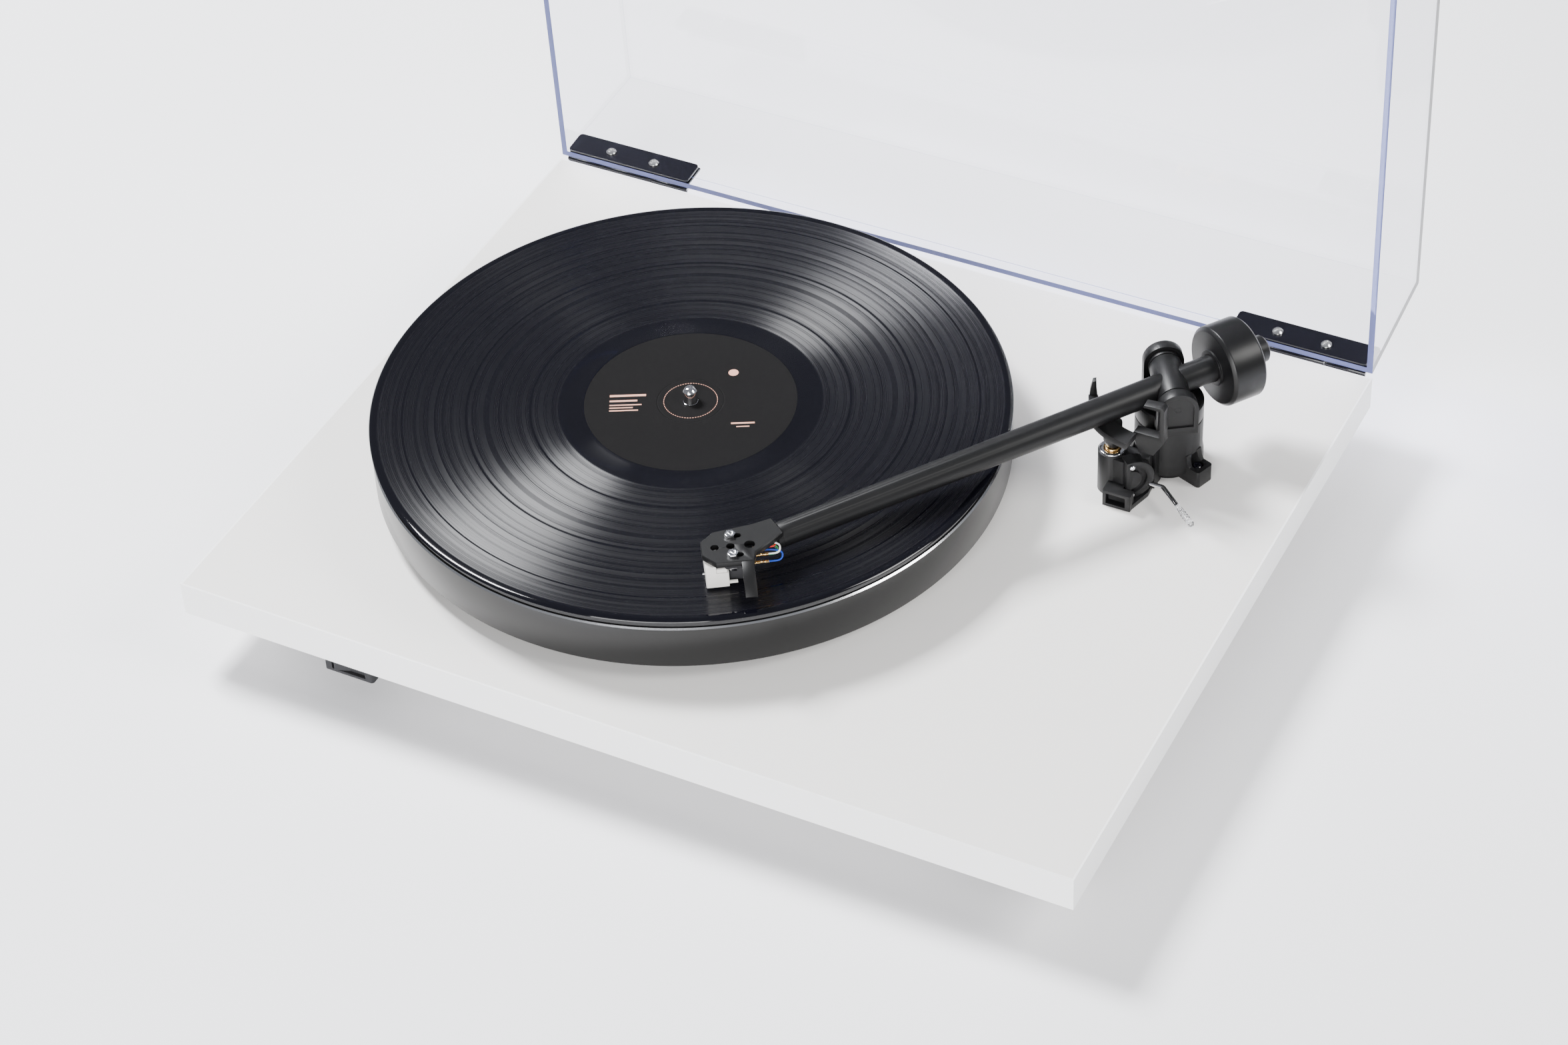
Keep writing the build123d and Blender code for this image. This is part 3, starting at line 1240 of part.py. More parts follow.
EAR_LOW = -SHELL_T - 3.0
CLIP_SIDES = (-2.3, 2.3)
CLIP_DROPS = (5.0, 9.5)
CLIP_PIN_R = 0.45
BODY_LOW = -14.4
with BuildPart() as cartridge_body:
    slab(place(SHELL, 0, 0, EAR_LOW), 8.0, 17.5, 3.0, 1.0)
    slab(place(SHELL, -3.4, 0, BODY_LOW), 11.2, 7.6, -SHELL_T - BODY_LOW, 0.6)
    slab(place(SHELL, -3.4, 0, BODY_LOW), 11.2, 12.6, 6.4, 0.6)
    for side in (-1, 1):
        rod(place(SHELL, 0, side * SCREW_SPACING / 2, EAR_LOW - 1), 1.3, 6, Mode.SUBTRACT)
    for y_clip in CLIP_SIDES:
        for drop in CLIP_DROPS:
            rod(place(SHELL, -9.4, y_clip, -drop, (0, 90, 0)), CLIP_PIN_R + RUN, 3.0, Mode.SUBTRACT)
keep(cartridge_body, "cartridge_body")

STYLUS_LOW = -16.1
STYLUS_X0 = 2.3
STYLUS_X1 = 12.6
STYLUS_HALF = 8.6
with BuildPart() as stylus_unit:
    middle_x = (STYLUS_X0 + STYLUS_X1) / 2
    slab(place(SHELL, middle_x, 0, STYLUS_LOW), STYLUS_X1 - STYLUS_X0, 2 * STYLUS_HALF, 8.0, 0.5)
    slab(place(SHELL, STYLUS_X1 - 2.4, 0, STYLUS_LOW + 7.5), 4.8, 2 * STYLUS_HALF, 4.6, 0.4)
    slab(place(SHELL, STYLUS_X0 + 3.5, 0, STYLUS_LOW + 7.5), 5.6, 2 * STYLUS_HALF - 1.0, 2.6, 0.4)
    for side in (-1, 1):
        slab(place(SHELL, STYLUS_X0 - 1.5, side * (STYLUS_HALF - 0.5), STYLUS_LOW + 1.6), 4.4, 0.9, 1.2)
    # Slot that the cantilever swings in, and the tunnel it comes out of.
    slab(place(SHELL, STYLUS_X1 - 2.5, 0, STYLUS_LOW - 1), 6.0, 3.2, 3.6, mode=Mode.SUBTRACT)
keep(stylus_unit, "stylus_unit")

with BuildPart() as cantilever:
    root_point = place(SHELL, STYLUS_X1 - 5.5, 0, STYLUS_LOW + 1.2, (0, 93, 0))
    rod(root_point, 0.45, 6.5)
    diamond_x = STYLUS_FORWARD + 2.0
    turned(
        place(SHELL, diamond_x, 0, STYLUS_LOW + 1.0),
        [(0, 0.1), (0.3, 0.1), (0.3, -0.7), (0.05, -1.2), (0, -1.2)],
    )
keep(cantilever, "cantilever")

NUT_DROP = EAR_LOW - 1.7
with BuildPart() as cartridge_screws:
    for side in (-1, 1):
        head = place(SHELL, 0, side * SCREW_SPACING / 2)
        hexagon(head, 4.4, 1.7)
        rod(place(head, z=1.0), 1.35, 1.5, Mode.SUBTRACT)
        turned(place(head, z=1.0), [(0, 0), (1.1, 0), (0.8, 0.9), (0, 1.1)])
        rod(place(head, z=NUT_DROP - 0.4), 1.2, 0.4 - NUT_DROP)
        hexagon(place(head, z=NUT_DROP), 4.4, 1.65)
keep(cartridge_screws, "cartridge_screws")

CLIP_START = -9.1
CLIP_END = -16.0
CLIP_R = 0.75
with BuildPart() as lead_clips:
    for y_clip in CLIP_SIDES:
        for drop in CLIP_DROPS:
            turned(
                place(SHELL, CLIP_START, y_clip, -drop, (0, -90, 0)),
                [
                    (0, -2.4),
                    (CLIP_PIN_R, -2.4),
                    (CLIP_PIN_R, 0.1),
                    (CLIP_R, 0.1),
                    (CLIP_R, 3.4),
                    (0.5, 3.9),
                    (0.5, 4.8),
                    (0.7, 5.1),
                    (0.7, CLIP_START - CLIP_END),
                    (0, CLIP_START - CLIP_END),
                ],
            )
keep(lead_clips, "lead_clips")

# Each lead: clip end, two corners of its loop, and its end on the anchor block.
WIRE_R = 0.4
ANCHOR_X = -12.5
LEADS = {
    "lead_red": ((-2.3, -5.0), -19.5, (-5.8, -4.8), 1.5),
    "lead_green": ((-2.3, -9.5), -20.4, (-5.8, -6.5), 1.9),
    "lead_white": ((2.3, -5.0), -21.4, (-3.7, -3.35), 2.4),
    "lead_blue": ((2.3, -9.5), -22.3, (-2.6, -6.8), 2.5),
}
for name, (clip_yz, loop_x, anchor_yz, bend) in LEADS.items():
    with BuildPart() as lead:
        with BuildLine(SHELL) as lead_path:
            FilletPolyline(
                (CLIP_END, *clip_yz),
                (loop_x, *clip_yz),
                (loop_x, *anchor_yz),
                (ANCHOR_X, *anchor_yz),
                radius=bend,
            )
        with BuildSketch(lead_path.line ^ 0):
            Circle(WIRE_R)
        sweep()
    keep(lead, name)
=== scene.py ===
"""Builds the finished look of a belt-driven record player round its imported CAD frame."""

import json
import logging
import math
from dataclasses import dataclass, field
from enum import Enum
from typing import Callable, Iterable, Optional, Sequence

import bmesh
import bpy
from mathutils import Matrix, Vector


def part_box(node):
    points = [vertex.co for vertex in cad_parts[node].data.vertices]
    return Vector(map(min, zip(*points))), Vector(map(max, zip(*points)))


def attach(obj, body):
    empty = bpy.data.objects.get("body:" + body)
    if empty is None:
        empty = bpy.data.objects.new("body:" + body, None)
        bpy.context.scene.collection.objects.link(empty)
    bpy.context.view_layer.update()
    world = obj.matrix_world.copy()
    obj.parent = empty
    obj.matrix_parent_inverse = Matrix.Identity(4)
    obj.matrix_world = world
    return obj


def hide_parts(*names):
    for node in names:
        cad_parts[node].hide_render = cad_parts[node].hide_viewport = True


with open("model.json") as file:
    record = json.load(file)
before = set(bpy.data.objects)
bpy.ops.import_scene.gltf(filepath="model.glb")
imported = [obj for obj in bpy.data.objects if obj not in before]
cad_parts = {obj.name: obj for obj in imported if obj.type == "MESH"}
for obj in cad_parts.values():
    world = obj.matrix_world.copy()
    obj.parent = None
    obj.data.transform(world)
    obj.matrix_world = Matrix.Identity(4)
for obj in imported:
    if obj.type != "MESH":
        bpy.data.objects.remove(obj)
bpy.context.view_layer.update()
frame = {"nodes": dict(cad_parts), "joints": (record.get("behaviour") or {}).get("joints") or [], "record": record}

LOG = logging.getLogger("record_player")
MM = 0.001
FLAT_WIDTH = 4 * MM
MERGE_DISTANCE = 0.002 * MM
FLAT_ANGLE = 0.6
CORNER_ANGLE = 32.0
DRIFT_SCALE = 22.0
DUST_SCALE = 900.0
DUST_TONE = (0.75, 0.74, 0.72)
EDGE_RANGE = (0.52, 0.62)
BROAD_RINGS_PER_MM = 0.35
INK_THICKNESS = 0.02 * MM
Colour = tuple[float, float, float]
Profile = Sequence[tuple[float, float]]


# ---------------------------------------------------------------- places


@dataclass(frozen=True)
class Axes:
    """A right-handed set of axes standing somewhere on the player, read in millimetres."""

    origin: Vector
    x: Vector
    y: Vector
    z: Vector

    def at(self, x: float, y: float, z: float) -> Vector:
        """Turns a place given along these axes into a place on the player.

        Args:
            x: Millimetres along x.
            y: Millimetres along y.
            z: Millimetres along z.

        Returns:
            The place in metres.
        """
        return self.origin + (self.x * x + self.y * y + self.z * z) * MM

    def matrix(self) -> Matrix:
        """Returns the matrix that carries a mesh drawn in millimetres to its place."""
        rows = Matrix((self.x * MM, self.y * MM, self.z * MM)).transposed().to_4x4()
        return Matrix.Translation(self.origin) @ rows


def middle(node: str) -> Vector:
    """Returns the centre of a CAD node's box."""
    low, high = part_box(node)
    return (low + high) / 2


def box_radius(node: str) -> float:
    """Returns the radius of a round CAD node from its box, in millimetres."""
    low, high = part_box(node)
    return (high.x - low.x) / 2 * 1000


def box_heights(node: str) -> tuple[float, float]:
    """Returns the lowest and highest z of a CAD node, in millimetres."""
    low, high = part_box(node)
    return low.z * 1000, high.z * 1000


def new_object(name: str, data: Optional[bpy.types.ID]) -> bpy.types.Object:
    """Makes an object and links it into the scene."""
    made = bpy.data.objects.new(name, data)
    bpy.context.scene.collection.objects.link(made)
    return made


def joint(name: str) -> dict:
    """Returns a joint's entry in the record."""
    return next(j for j in frame["joints"] if j["name"] == name)


def upright(centre: Vector, height: float) -> Axes:
    """Returns axes that stand upright over a centre, with their origin at a height."""
    foot = Vector((centre.x, centre.y, height))
    return Axes(foot, Vector((1, 0, 0)), Vector((0, 1, 0)), Vector((0, 0, 1)))


UP = Vector((0, 0, 1))
SPINDLE = Vector(joint("platter_spin")["pos_m"])
PIVOT = Vector(joint("arm_pitch")["pos_m"])
SHELL_Y = -Vector(joint("arm_pitch")["axis"])
SHELL_X = SHELL_Y.cross(UP)
PLATE_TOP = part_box("headshell")[1].z
SHELL = Axes(
    Vector((middle("cartridge_screws").x, middle("cartridge_screws").y, PLATE_TOP)), SHELL_X, SHELL_Y, UP
)
ARM_BACK = Vector(joint("counterweight_slide")["axis"])
REAR = Axes(PIVOT, UP, ARM_BACK.cross(UP), ARM_BACK)


# ---------------------------------------------------------------- shader groups


class TreeBuilder:
    """Draws a node tree, node by node."""

    def __init__(self, tree: bpy.types.NodeTree) -> None:
        """Keeps the tree that the nodes go into."""
        self.tree = tree

    def node(self, kind: str, inputs: Optional[dict] = None, **settings: object) -> bpy.types.Node:
        """Adds a node and feeds its inputs.

        Args:
            kind: The node's type, such as ShaderNodeMath.
            inputs: Values or sockets by input name or number.
            settings: Properties set on the node.

        Returns:
            The node.
        """
        made = self.tree.nodes.new(kind)
        for key, value in settings.items():
            setattr(made, key, value)
        for key, value in (inputs or {}).items():
            self.feed(made.inputs[key], value)
        return made

    def feed(self, into: bpy.types.NodeSocket, value: object) -> None:
        """Links an input to a socket, or sets it to a plain value."""
        if isinstance(value, bpy.types.NodeSocket):
            self.tree.links.new(value, into)
        else:
            into.default_value = value


class GroupBuilder(TreeBuilder):
    """Draws one shader node group or material tree."""

    def socket(self, name: str, out: bool, kind: str, default: object = None) -> None:
        """Adds a named input or output to a group.

        Args:
            name: The socket's name.
            out: True for an output.
            kind: Float, Color or Vector.
            default: The value an unlinked input has.
        """
        made = self.tree.interface.new_socket(
            name=name, in_out="OUTPUT" if out else "INPUT", socket_type=f"NodeSocket{kind}"
        )
        if default is not None:
            made.default_value = default

    def maths(self, operation: str, *values: object) -> bpy.types.NodeSocket:
        """Adds a Math node and returns its result."""
        return self.node("ShaderNodeMath", dict(enumerate(values)), operation=operation).outputs[0]

    def mix(self, factor: object, first: object, second: object) -> bpy.types.NodeSocket:
        """Mixes two colours and returns the result."""
        made = self.node("ShaderNodeMix", data_type="RGBA")
        for index, value in ((0, factor), (6, first), (7, second)):
            self.feed(made.inputs[index], value)
        return made.outputs[2]

    def use(self, group: bpy.types.NodeTree, **values: object) -> bpy.types.Node:
        """Places a shared group, with its inputs by name and underscores for spaces."""
        inputs = {key.replace("_", " "): value for key, value in values.items()}
        made = self.node("ShaderNodeGroup", node_tree=group)
        for key, value in inputs.items():
            self.feed(made.inputs[key], value)
        return made

    def band(self, value: bpy.types.NodeSocket, low: float, high: float) -> bpy.types.NodeSocket:
        """Carries the range from low to high to 0 to 1."""
        return self.node("ShaderNodeMapRange", {0: value, 1: low, 2: high}).outputs[0]

    def spread(self, value: bpy.types.NodeSocket, low: object, high: object) -> bpy.types.NodeSocket:
        """Carries a 0 to 1 value to the range from low to high."""
        made = self.node("ShaderNodeMapRange", {"Value": value, "To Min": low, "To Max": high})
        return made.outputs["Result"]


GroupDrawer = Callable[[GroupBuilder, bpy.types.Node, bpy.types.Node], None]


def new_group(name: str, draw: GroupDrawer) -> bpy.types.NodeTree:
    """Makes a shader node group.

    Args:
        name: The group's name.
        draw: Fills the group, given its builder, Group Input and Group Output.

    Returns:
        The group.
    """
    tree = bpy.data.node_groups.new(name, "ShaderNodeTree")
    builder = GroupBuilder(tree)
    draw(builder, tree.nodes.new("NodeGroupInput"), tree.nodes.new("NodeGroupOutput"))
    return tree


def rgba(colour: Colour) -> tuple[float, float, float, float]:
    """Returns a colour with full alpha."""
    return (*colour, 1.0)


def draw_grain(g: GroupBuilder, into: bpy.types.Node, out: bpy.types.Node) -> None:
    """Moulded or sprayed skin: a broad drift of tone over a fine grain.

    Args:
        g: The group's builder.
        into: The Group Input.
        out: The Group Output.
    """
    for name, kind, value in (
        ("Tone", "Color", rgba((0.5, 0.5, 0.5))),
        ("Drift", "Float", 0.1),
        ("Grain Size", "Float", 0.4),
        ("Roughness", "Float", 0.5),
        ("Roughness Swing", "Float", 0.1),
    ):
        g.socket(name, False, kind, value)
    g.socket("Tone", True, "Color")
    g.socket("Roughness", True, "Float")
    g.socket("Height", True, "Float")
    place = g.node("ShaderNodeTexCoord").outputs["Object"]
    fine_scale = g.maths("DIVIDE", 1000.0, into.outputs["Grain Size"])
    fine = g.node("ShaderNodeTexNoise", {"Vector": place, "Scale": fine_scale, "Detail": 2.0})
    broad = g.node("ShaderNodeTexNoise", {"Vector": place, "Scale": DRIFT_SCALE, "Detail": 4.0})
    centred = g.maths("SUBTRACT", broad.outputs["Fac"], 0.5)
    drift = g.maths("MULTIPLY", centred, into.outputs["Drift"])
    speck = g.maths("MULTIPLY", g.maths("SUBTRACT", fine.outputs["Fac"], 0.5), into.outputs["Drift"])
    level = g.maths("ADD", 1.0, g.maths("ADD", g.maths("MULTIPLY", drift, 2.0), speck))
    tone = g.node("ShaderNodeVectorMath", {0: into.outputs["Tone"], "Scale": level}, operation="SCALE")
    swing = g.maths("MULTIPLY", centred, into.outputs["Roughness Swing"])
    rough = g.maths("ADD", into.outputs["Roughness"], g.maths("MULTIPLY", swing, 2.0))
    g.tree.links.new(tone.outputs[0], out.inputs["Tone"])
    g.tree.links.new(rough, out.inputs["Roughness"])
    g.tree.links.new(fine.outputs["Fac"], out.inputs["Height"])


def draw_dust_wear_and_edge_sheen(g: GroupBuilder, into: bpy.types.Node, out: bpy.types.Node) -> None:
    """Fine dust that settles on faces that look up, and paler edges: rubbed wear plus a painted edge highlight.

    Args:
        g: The group's builder.
        into: The Group Input.
        out: The Group Output.
    """
    for name, kind, value in (
        ("Tone", "Color", rgba((0.5, 0.5, 0.5))),
        ("Rubbed Tone", "Color", rgba((0.6, 0.6, 0.6))),
        ("Dust", "Float", 0.02),
        ("Rubbing", "Float", 0.3),
    ):
        g.socket(name, False, kind, value)
    g.socket("Tone", True, "Color")
    place = g.node("ShaderNodeTexCoord").outputs["Object"]
    surface = g.node("ShaderNodeNewGeometry")
    up = g.node("ShaderNodeSeparateXYZ", {0: surface.outputs["Normal"]}).outputs[2]
    specks = g.node("ShaderNodeTexNoise", {"Vector": place, "Scale": DUST_SCALE, "Detail": 3.0})
    settled = g.maths("MULTIPLY", g.maths("MAXIMUM", up, 0.0), g.maths("POWER", specks.outputs["Fac"], 3.0))
    dust = g.maths("MULTIPLY", settled, into.outputs["Dust"])
    # Edges found by pointiness are lightened: rubbed wear plus a painted edge highlight.
    sharp = g.band(surface.outputs["Pointiness"], *EDGE_RANGE)
    worn_and_sheen = g.maths("MULTIPLY", sharp, into.outputs["Rubbing"])
    dusty = g.mix(dust, into.outputs["Tone"], rgba(DUST_TONE))
    g.tree.links.new(g.mix(worn_and_sheen, dusty, into.outputs["Rubbed Tone"]), out.inputs["Tone"])


def draw_turning(g: GroupBuilder, into: bpy.types.Node, out: bpy.types.Node) -> None:
    """Radius from an upright axis, with the fine rings that a lathe or a press leaves.

    Args:
        g: The group's builder.
        into: The Group Input.
        out: The Group Output.
    """
    g.socket("Centre", False, "Vector", (0.0, 0.0, 0.0))
    g.socket("Rings per mm", False, "Float", 2.0)
    g.socket("Radius", True, "Float")
    g.socket("Fine Rings", True, "Float")
    g.socket("Broad Rings", True, "Float")
    place = g.node("ShaderNodeTexCoord").outputs["Object"]
    moved = g.node("ShaderNodeVectorMath", {0: place, 1: into.outputs["Centre"]}, operation="SUBTRACT")
    flat = g.node("ShaderNodeVectorMath", {0: moved.outputs[0], 1: (1.0, 1.0, 0.0)}, operation="MULTIPLY")
    length = g.node("ShaderNodeVectorMath", {0: flat.outputs[0]}, operation="LENGTH").outputs["Value"]
    radius = g.maths("MULTIPLY", length, 1000.0)
    rate = g.maths("MULTIPLY", radius, into.outputs["Rings per mm"])
    fine = g.node("ShaderNodeTexNoise", {"W": rate, "Scale": 1.0, "Detail": 3.0}, noise_dimensions="1D")
    slow = g.maths("MULTIPLY", radius, BROAD_RINGS_PER_MM)
    broad = g.node("ShaderNodeTexNoise", {"W": slow, "Scale": 1.0, "Detail": 2.0}, noise_dimensions="1D")
    g.tree.links.new(radius, out.inputs["Radius"])
    g.tree.links.new(fine.outputs["Fac"], out.inputs["Fine Rings"])
    g.tree.links.new(broad.outputs["Fac"], out.inputs["Broad Rings"])


GRAIN = new_group("moulded_grain", draw_grain)
DUST_WEAR_AND_SHEEN = new_group("dust_wear_and_edge_sheen", draw_dust_wear_and_edge_sheen)
TURNING = new_group("turned_rings", draw_turning)


# ---------------------------------------------------------------- finishes


class FinishMaterial:
    """One material: a tree with its Principled shader and output in place."""

    def __init__(self, name: str, **constants: object) -> None:
        """Makes the material.

        Args:
            name: The material's name.
            constants: Principled sockets by name, with underscores for spaces.
        """
        self.material = bpy.data.materials.new(f"{name}_finish")
        self.material.use_nodes = True
        tree = self.material.node_tree
        tree.nodes.clear()
        self.g = GroupBuilder(tree)
        self.shader = self.g.node("ShaderNodeBsdfPrincipled")
        self.out = self.g.node("ShaderNodeOutputMaterial", {"Surface": self.shader.outputs[0]})
        for key, value in constants.items():
            self.shader.inputs[key.replace("_", " ")].default_value = value

    def feed(self, socket: str, source: bpy.types.NodeSocket) -> None:
        """Links a socket of the shader to something that changes over the surface."""
        self.g.tree.links.new(source, self.shader.inputs[socket])

    def bump(self, height: bpy.types.NodeSocket, depth_mm: float, strength: float = 1.0) -> None:
        """Presses a height into the surface.

        Args:
            height: A 0 to 1 height.
            depth_mm: How deep a full step is.
            strength: How much of it shows.
        """
        settings = {"Height": height, "Distance": depth_mm * MM, "Strength": strength}
        self.feed("Normal", self.g.node("ShaderNodeBump", settings).outputs[0])


@dataclass(frozen=True)
class Skin:
    """A plain finish with grain, drift, dust, and paler edges that are rubbed wear plus a painted edge highlight.
    """

    name: str
    tone: Colour
    roughness: float
    drift: float = 0.08
    grain_mm: float = 0.4
    grain_depth: float = 0.004
    swing: float = 0.06
    metallic: float = 0.0
    coat: float = 0.0
    dust: float = 0.0
    wear_and_sheen: float = 0.0
    wear_and_sheen_tone: Colour = (0.2, 0.2, 0.2)
    specular: float = 0.28
    coat_roughness: float = 0.12

    def build(self) -> bpy.types.Material:
        """Returns the finish as a material."""
        made = FinishMaterial(self.name, Metallic=self.metallic, Specular_IOR_Level=self.specular)
        made.shader.inputs["Coat Weight"].default_value = self.coat
        made.shader.inputs["Coat Roughness"].default_value = self.coat_roughness
        grain = made.g.use(
            GRAIN,
            Tone=rgba(self.tone),
            Drift=self.drift,
            Grain_Size=self.grain_mm,
            Roughness=self.roughness,
            Roughness_Swing=self.swing,
        )
        tone = grain.outputs["Tone"]
        if self.dust or self.wear_and_sheen:
            dust_wear_sheen = made.g.use(
                DUST_WEAR_AND_SHEEN, Tone=tone, Rubbed_Tone=rgba(self.wear_and_sheen_tone), Dust=self.dust, Rubbing=self.wear_and_sheen
            )
            tone = dust_wear_sheen.outputs["Tone"]
        made.feed("Base Color", tone)
        made.feed("Roughness", grain.outputs["Roughness"])
        if self.grain_depth:
            made.bump(grain.outputs["Height"], self.grain_depth)
        return made.material


@dataclass(frozen=True)
class Clear:
    """Clear plastic that lets the lamps through."""

    name: str
    tint: Colour
    haze: float
    transmission: float = 1.0
    shade: Colour = (0.93, 0.93, 0.96)

    def build(self) -> bpy.types.Material:
        """Returns the finish as a material."""
        made = FinishMaterial(self.name, IOR=1.49, Transmission_Weight=self.transmission)
        made.shader.inputs["Base Color"].default_value = rgba(self.tint)
        grain = made.g.use(GRAIN, Roughness=self.haze, Roughness_Swing=self.haze * 0.5, Drift=0.0)
        made.feed("Roughness", grain.outputs["Roughness"])
        lamp = made.g.node("ShaderNodeBsdfTransparent", {"Color": rgba(self.shade)})
        path = made.g.node("ShaderNodeLightPath")
        mixed = made.g.node(
            "ShaderNodeMixShader",
            {0: path.outputs["Is Shadow Ray"], 1: made.shader.outputs[0], 2: lamp.outputs[0]},
        )
        made.g.tree.links.new(mixed.outputs[0], made.out.inputs["Surface"])
        return made.material


@dataclass(frozen=True)
class Vinyl:
    """Pressed vinyl: grooves that shine across their run, a painted sheen on the groove rings, and plain bands
    between the tracks.
    """

    name: str = "pressed_vinyl"
    tone: Colour = (0.0022, 0.0022, 0.0040)
    groove_inner: float = 61.5
    groove_outer: float = 146.5
    track_width: float = 15.0
    gap_width: float = 0.3
    gap_wander: float = 2.2
    wander_rate: float = 0.21
    rings_per_mm: float = 3.2
    plain_roughness: float = 0.09
    edge_width: float = 0.8
    groove_sheen_tone: Colour = (0.0034, 0.0034, 0.0052)
    ring_range: tuple[float, float] = (0.36, 0.64)
    groove_roughness: tuple[float, float] = (0.19, 0.42)
    bump_depth: float = 0.03
    bump_strength: float = 0.35

    def build(self) -> bpy.types.Material:
        """Returns the finish as a material."""
        made = FinishMaterial(self.name, Anisotropic=0.97, IOR=1.5, Specular_IOR_Level=0.42)
        g = made.g
        turning = g.use(TURNING, Centre=SPINDLE, Rings_per_mm=self.rings_per_mm)
        radius = turning.outputs["Radius"]
        inside = g.band(radius, self.groove_inner, self.groove_inner + self.edge_width)
        outside = g.band(radius, self.groove_outer + self.edge_width, self.groove_outer)
        wander = g.maths("SINE", g.maths("MULTIPLY", radius, self.wander_rate))
        wander = g.maths("MULTIPLY", wander, self.gap_wander)
        track = g.maths("PINGPONG", g.maths("ADD", radius, wander), self.track_width / 2)
        played = g.band(track, self.gap_width * 0.5, self.gap_width)
        cut = g.maths("MULTIPLY", inside, g.maths("MULTIPLY", outside, played))
        rings = g.maths(
            "ADD",
            g.maths("MULTIPLY", turning.outputs["Fine Rings"], 0.5),
            g.maths("MULTIPLY", turning.outputs["Broad Rings"], 0.5),
        )
        grooved = g.spread(g.band(rings, *self.ring_range), *self.groove_roughness)
        plain = self.plain_roughness
        rough = g.maths("ADD", plain, g.maths("MULTIPLY", g.maths("SUBTRACT", grooved, plain), cut))
        made.feed("Roughness", rough)
        height = g.maths("MULTIPLY", turning.outputs["Fine Rings"], cut)
        # The fine groove rings get a lighter base colour: painted sheen.
        made.feed("Base Color", g.mix(height, rgba(self.tone), rgba(self.groove_sheen_tone)))
        made.bump(height, self.bump_depth, self.bump_strength)
        tangent = g.node("ShaderNodeTangent", direction_type="UV_MAP", uv_map="radial")
        g.tree.links.new(tangent.outputs[0], made.shader.inputs["Tangent"])
        return made.material


@dataclass(frozen=True)
class Felt:
    """Pressed wool felt: short crossed fibres."""

    name: str = "black_felt"
    tone: Colour = (0.012, 0.012, 0.013)
    fibre_tone: Colour = (0.03, 0.03, 0.032)
    fibre_scale: float = 2200.0
    tuft_scale: float = 900.0

    def build(self) -> bpy.types.Material:
        """Returns the finish as a material."""
        made = FinishMaterial(self.name, Sheen_Weight=0.3, Sheen_Roughness=0.5, Roughness=0.95)
        g = made.g
        place = g.node("ShaderNodeTexCoord").outputs["Object"]
        twist = {"Vector": place, "Scale": self.fibre_scale, "Detail": 4.0, "Distortion": 1.5}
        fibre = g.node("ShaderNodeTexNoise", twist)
        tufts = g.node("ShaderNodeTexVoronoi", {"Vector": place, "Scale": self.tuft_scale})
        pile = g.maths("MULTIPLY", fibre.outputs["Fac"], tufts.outputs["Distance"])
        made.feed("Base Color", g.mix(fibre.outputs["Fac"], rgba(self.tone), rgba(self.fibre_tone)))
        made.bump(pile, 0.15, 0.8)
        return made.material


@dataclass(frozen=True)
class LabelPaper:
    """Matt black label paper with a pressed ring round its middle."""

    name: str = "label_paper"
    tone: Colour = (0.0042, 0.0040, 0.0042)
    fibre_tone: Colour = (0.0085, 0.0082, 0.0085)
    fibre_scale: float = 1800.0
    ring_radius: float = 15.7
    ring_half_width: float = 0.5

    def build(self) -> bpy.types.Material:
        """Returns the finish as a material."""
        made = FinishMaterial(self.name, Specular_IOR_Level=0.05)
        g = made.g
        turning = g.use(TURNING, Centre=SPINDLE)
        place = g.node("ShaderNodeTexCoord").outputs["Object"]
        fibre = g.node("ShaderNodeTexNoise", {"Vector": place, "Scale": self.fibre_scale, "Detail": 5.0})
        off = g.maths("ABSOLUTE", g.maths("SUBTRACT", turning.outputs["Radius"], self.ring_radius))
        pressed = g.band(off, 0.0, self.ring_half_width)
        made.feed("Base Color", g.mix(fibre.outputs["Fac"], rgba(self.tone), rgba(self.fibre_tone)))
        made.feed("Roughness", g.spread(fibre.outputs["Fac"], 0.62, 0.78))
        made.bump(g.maths("ADD", pressed, g.maths("MULTIPLY", fibre.outputs["Fac"], 0.06)), 0.12)
        return made.material


MADE_FINISHES: dict[str, bpy.types.Material] = {}


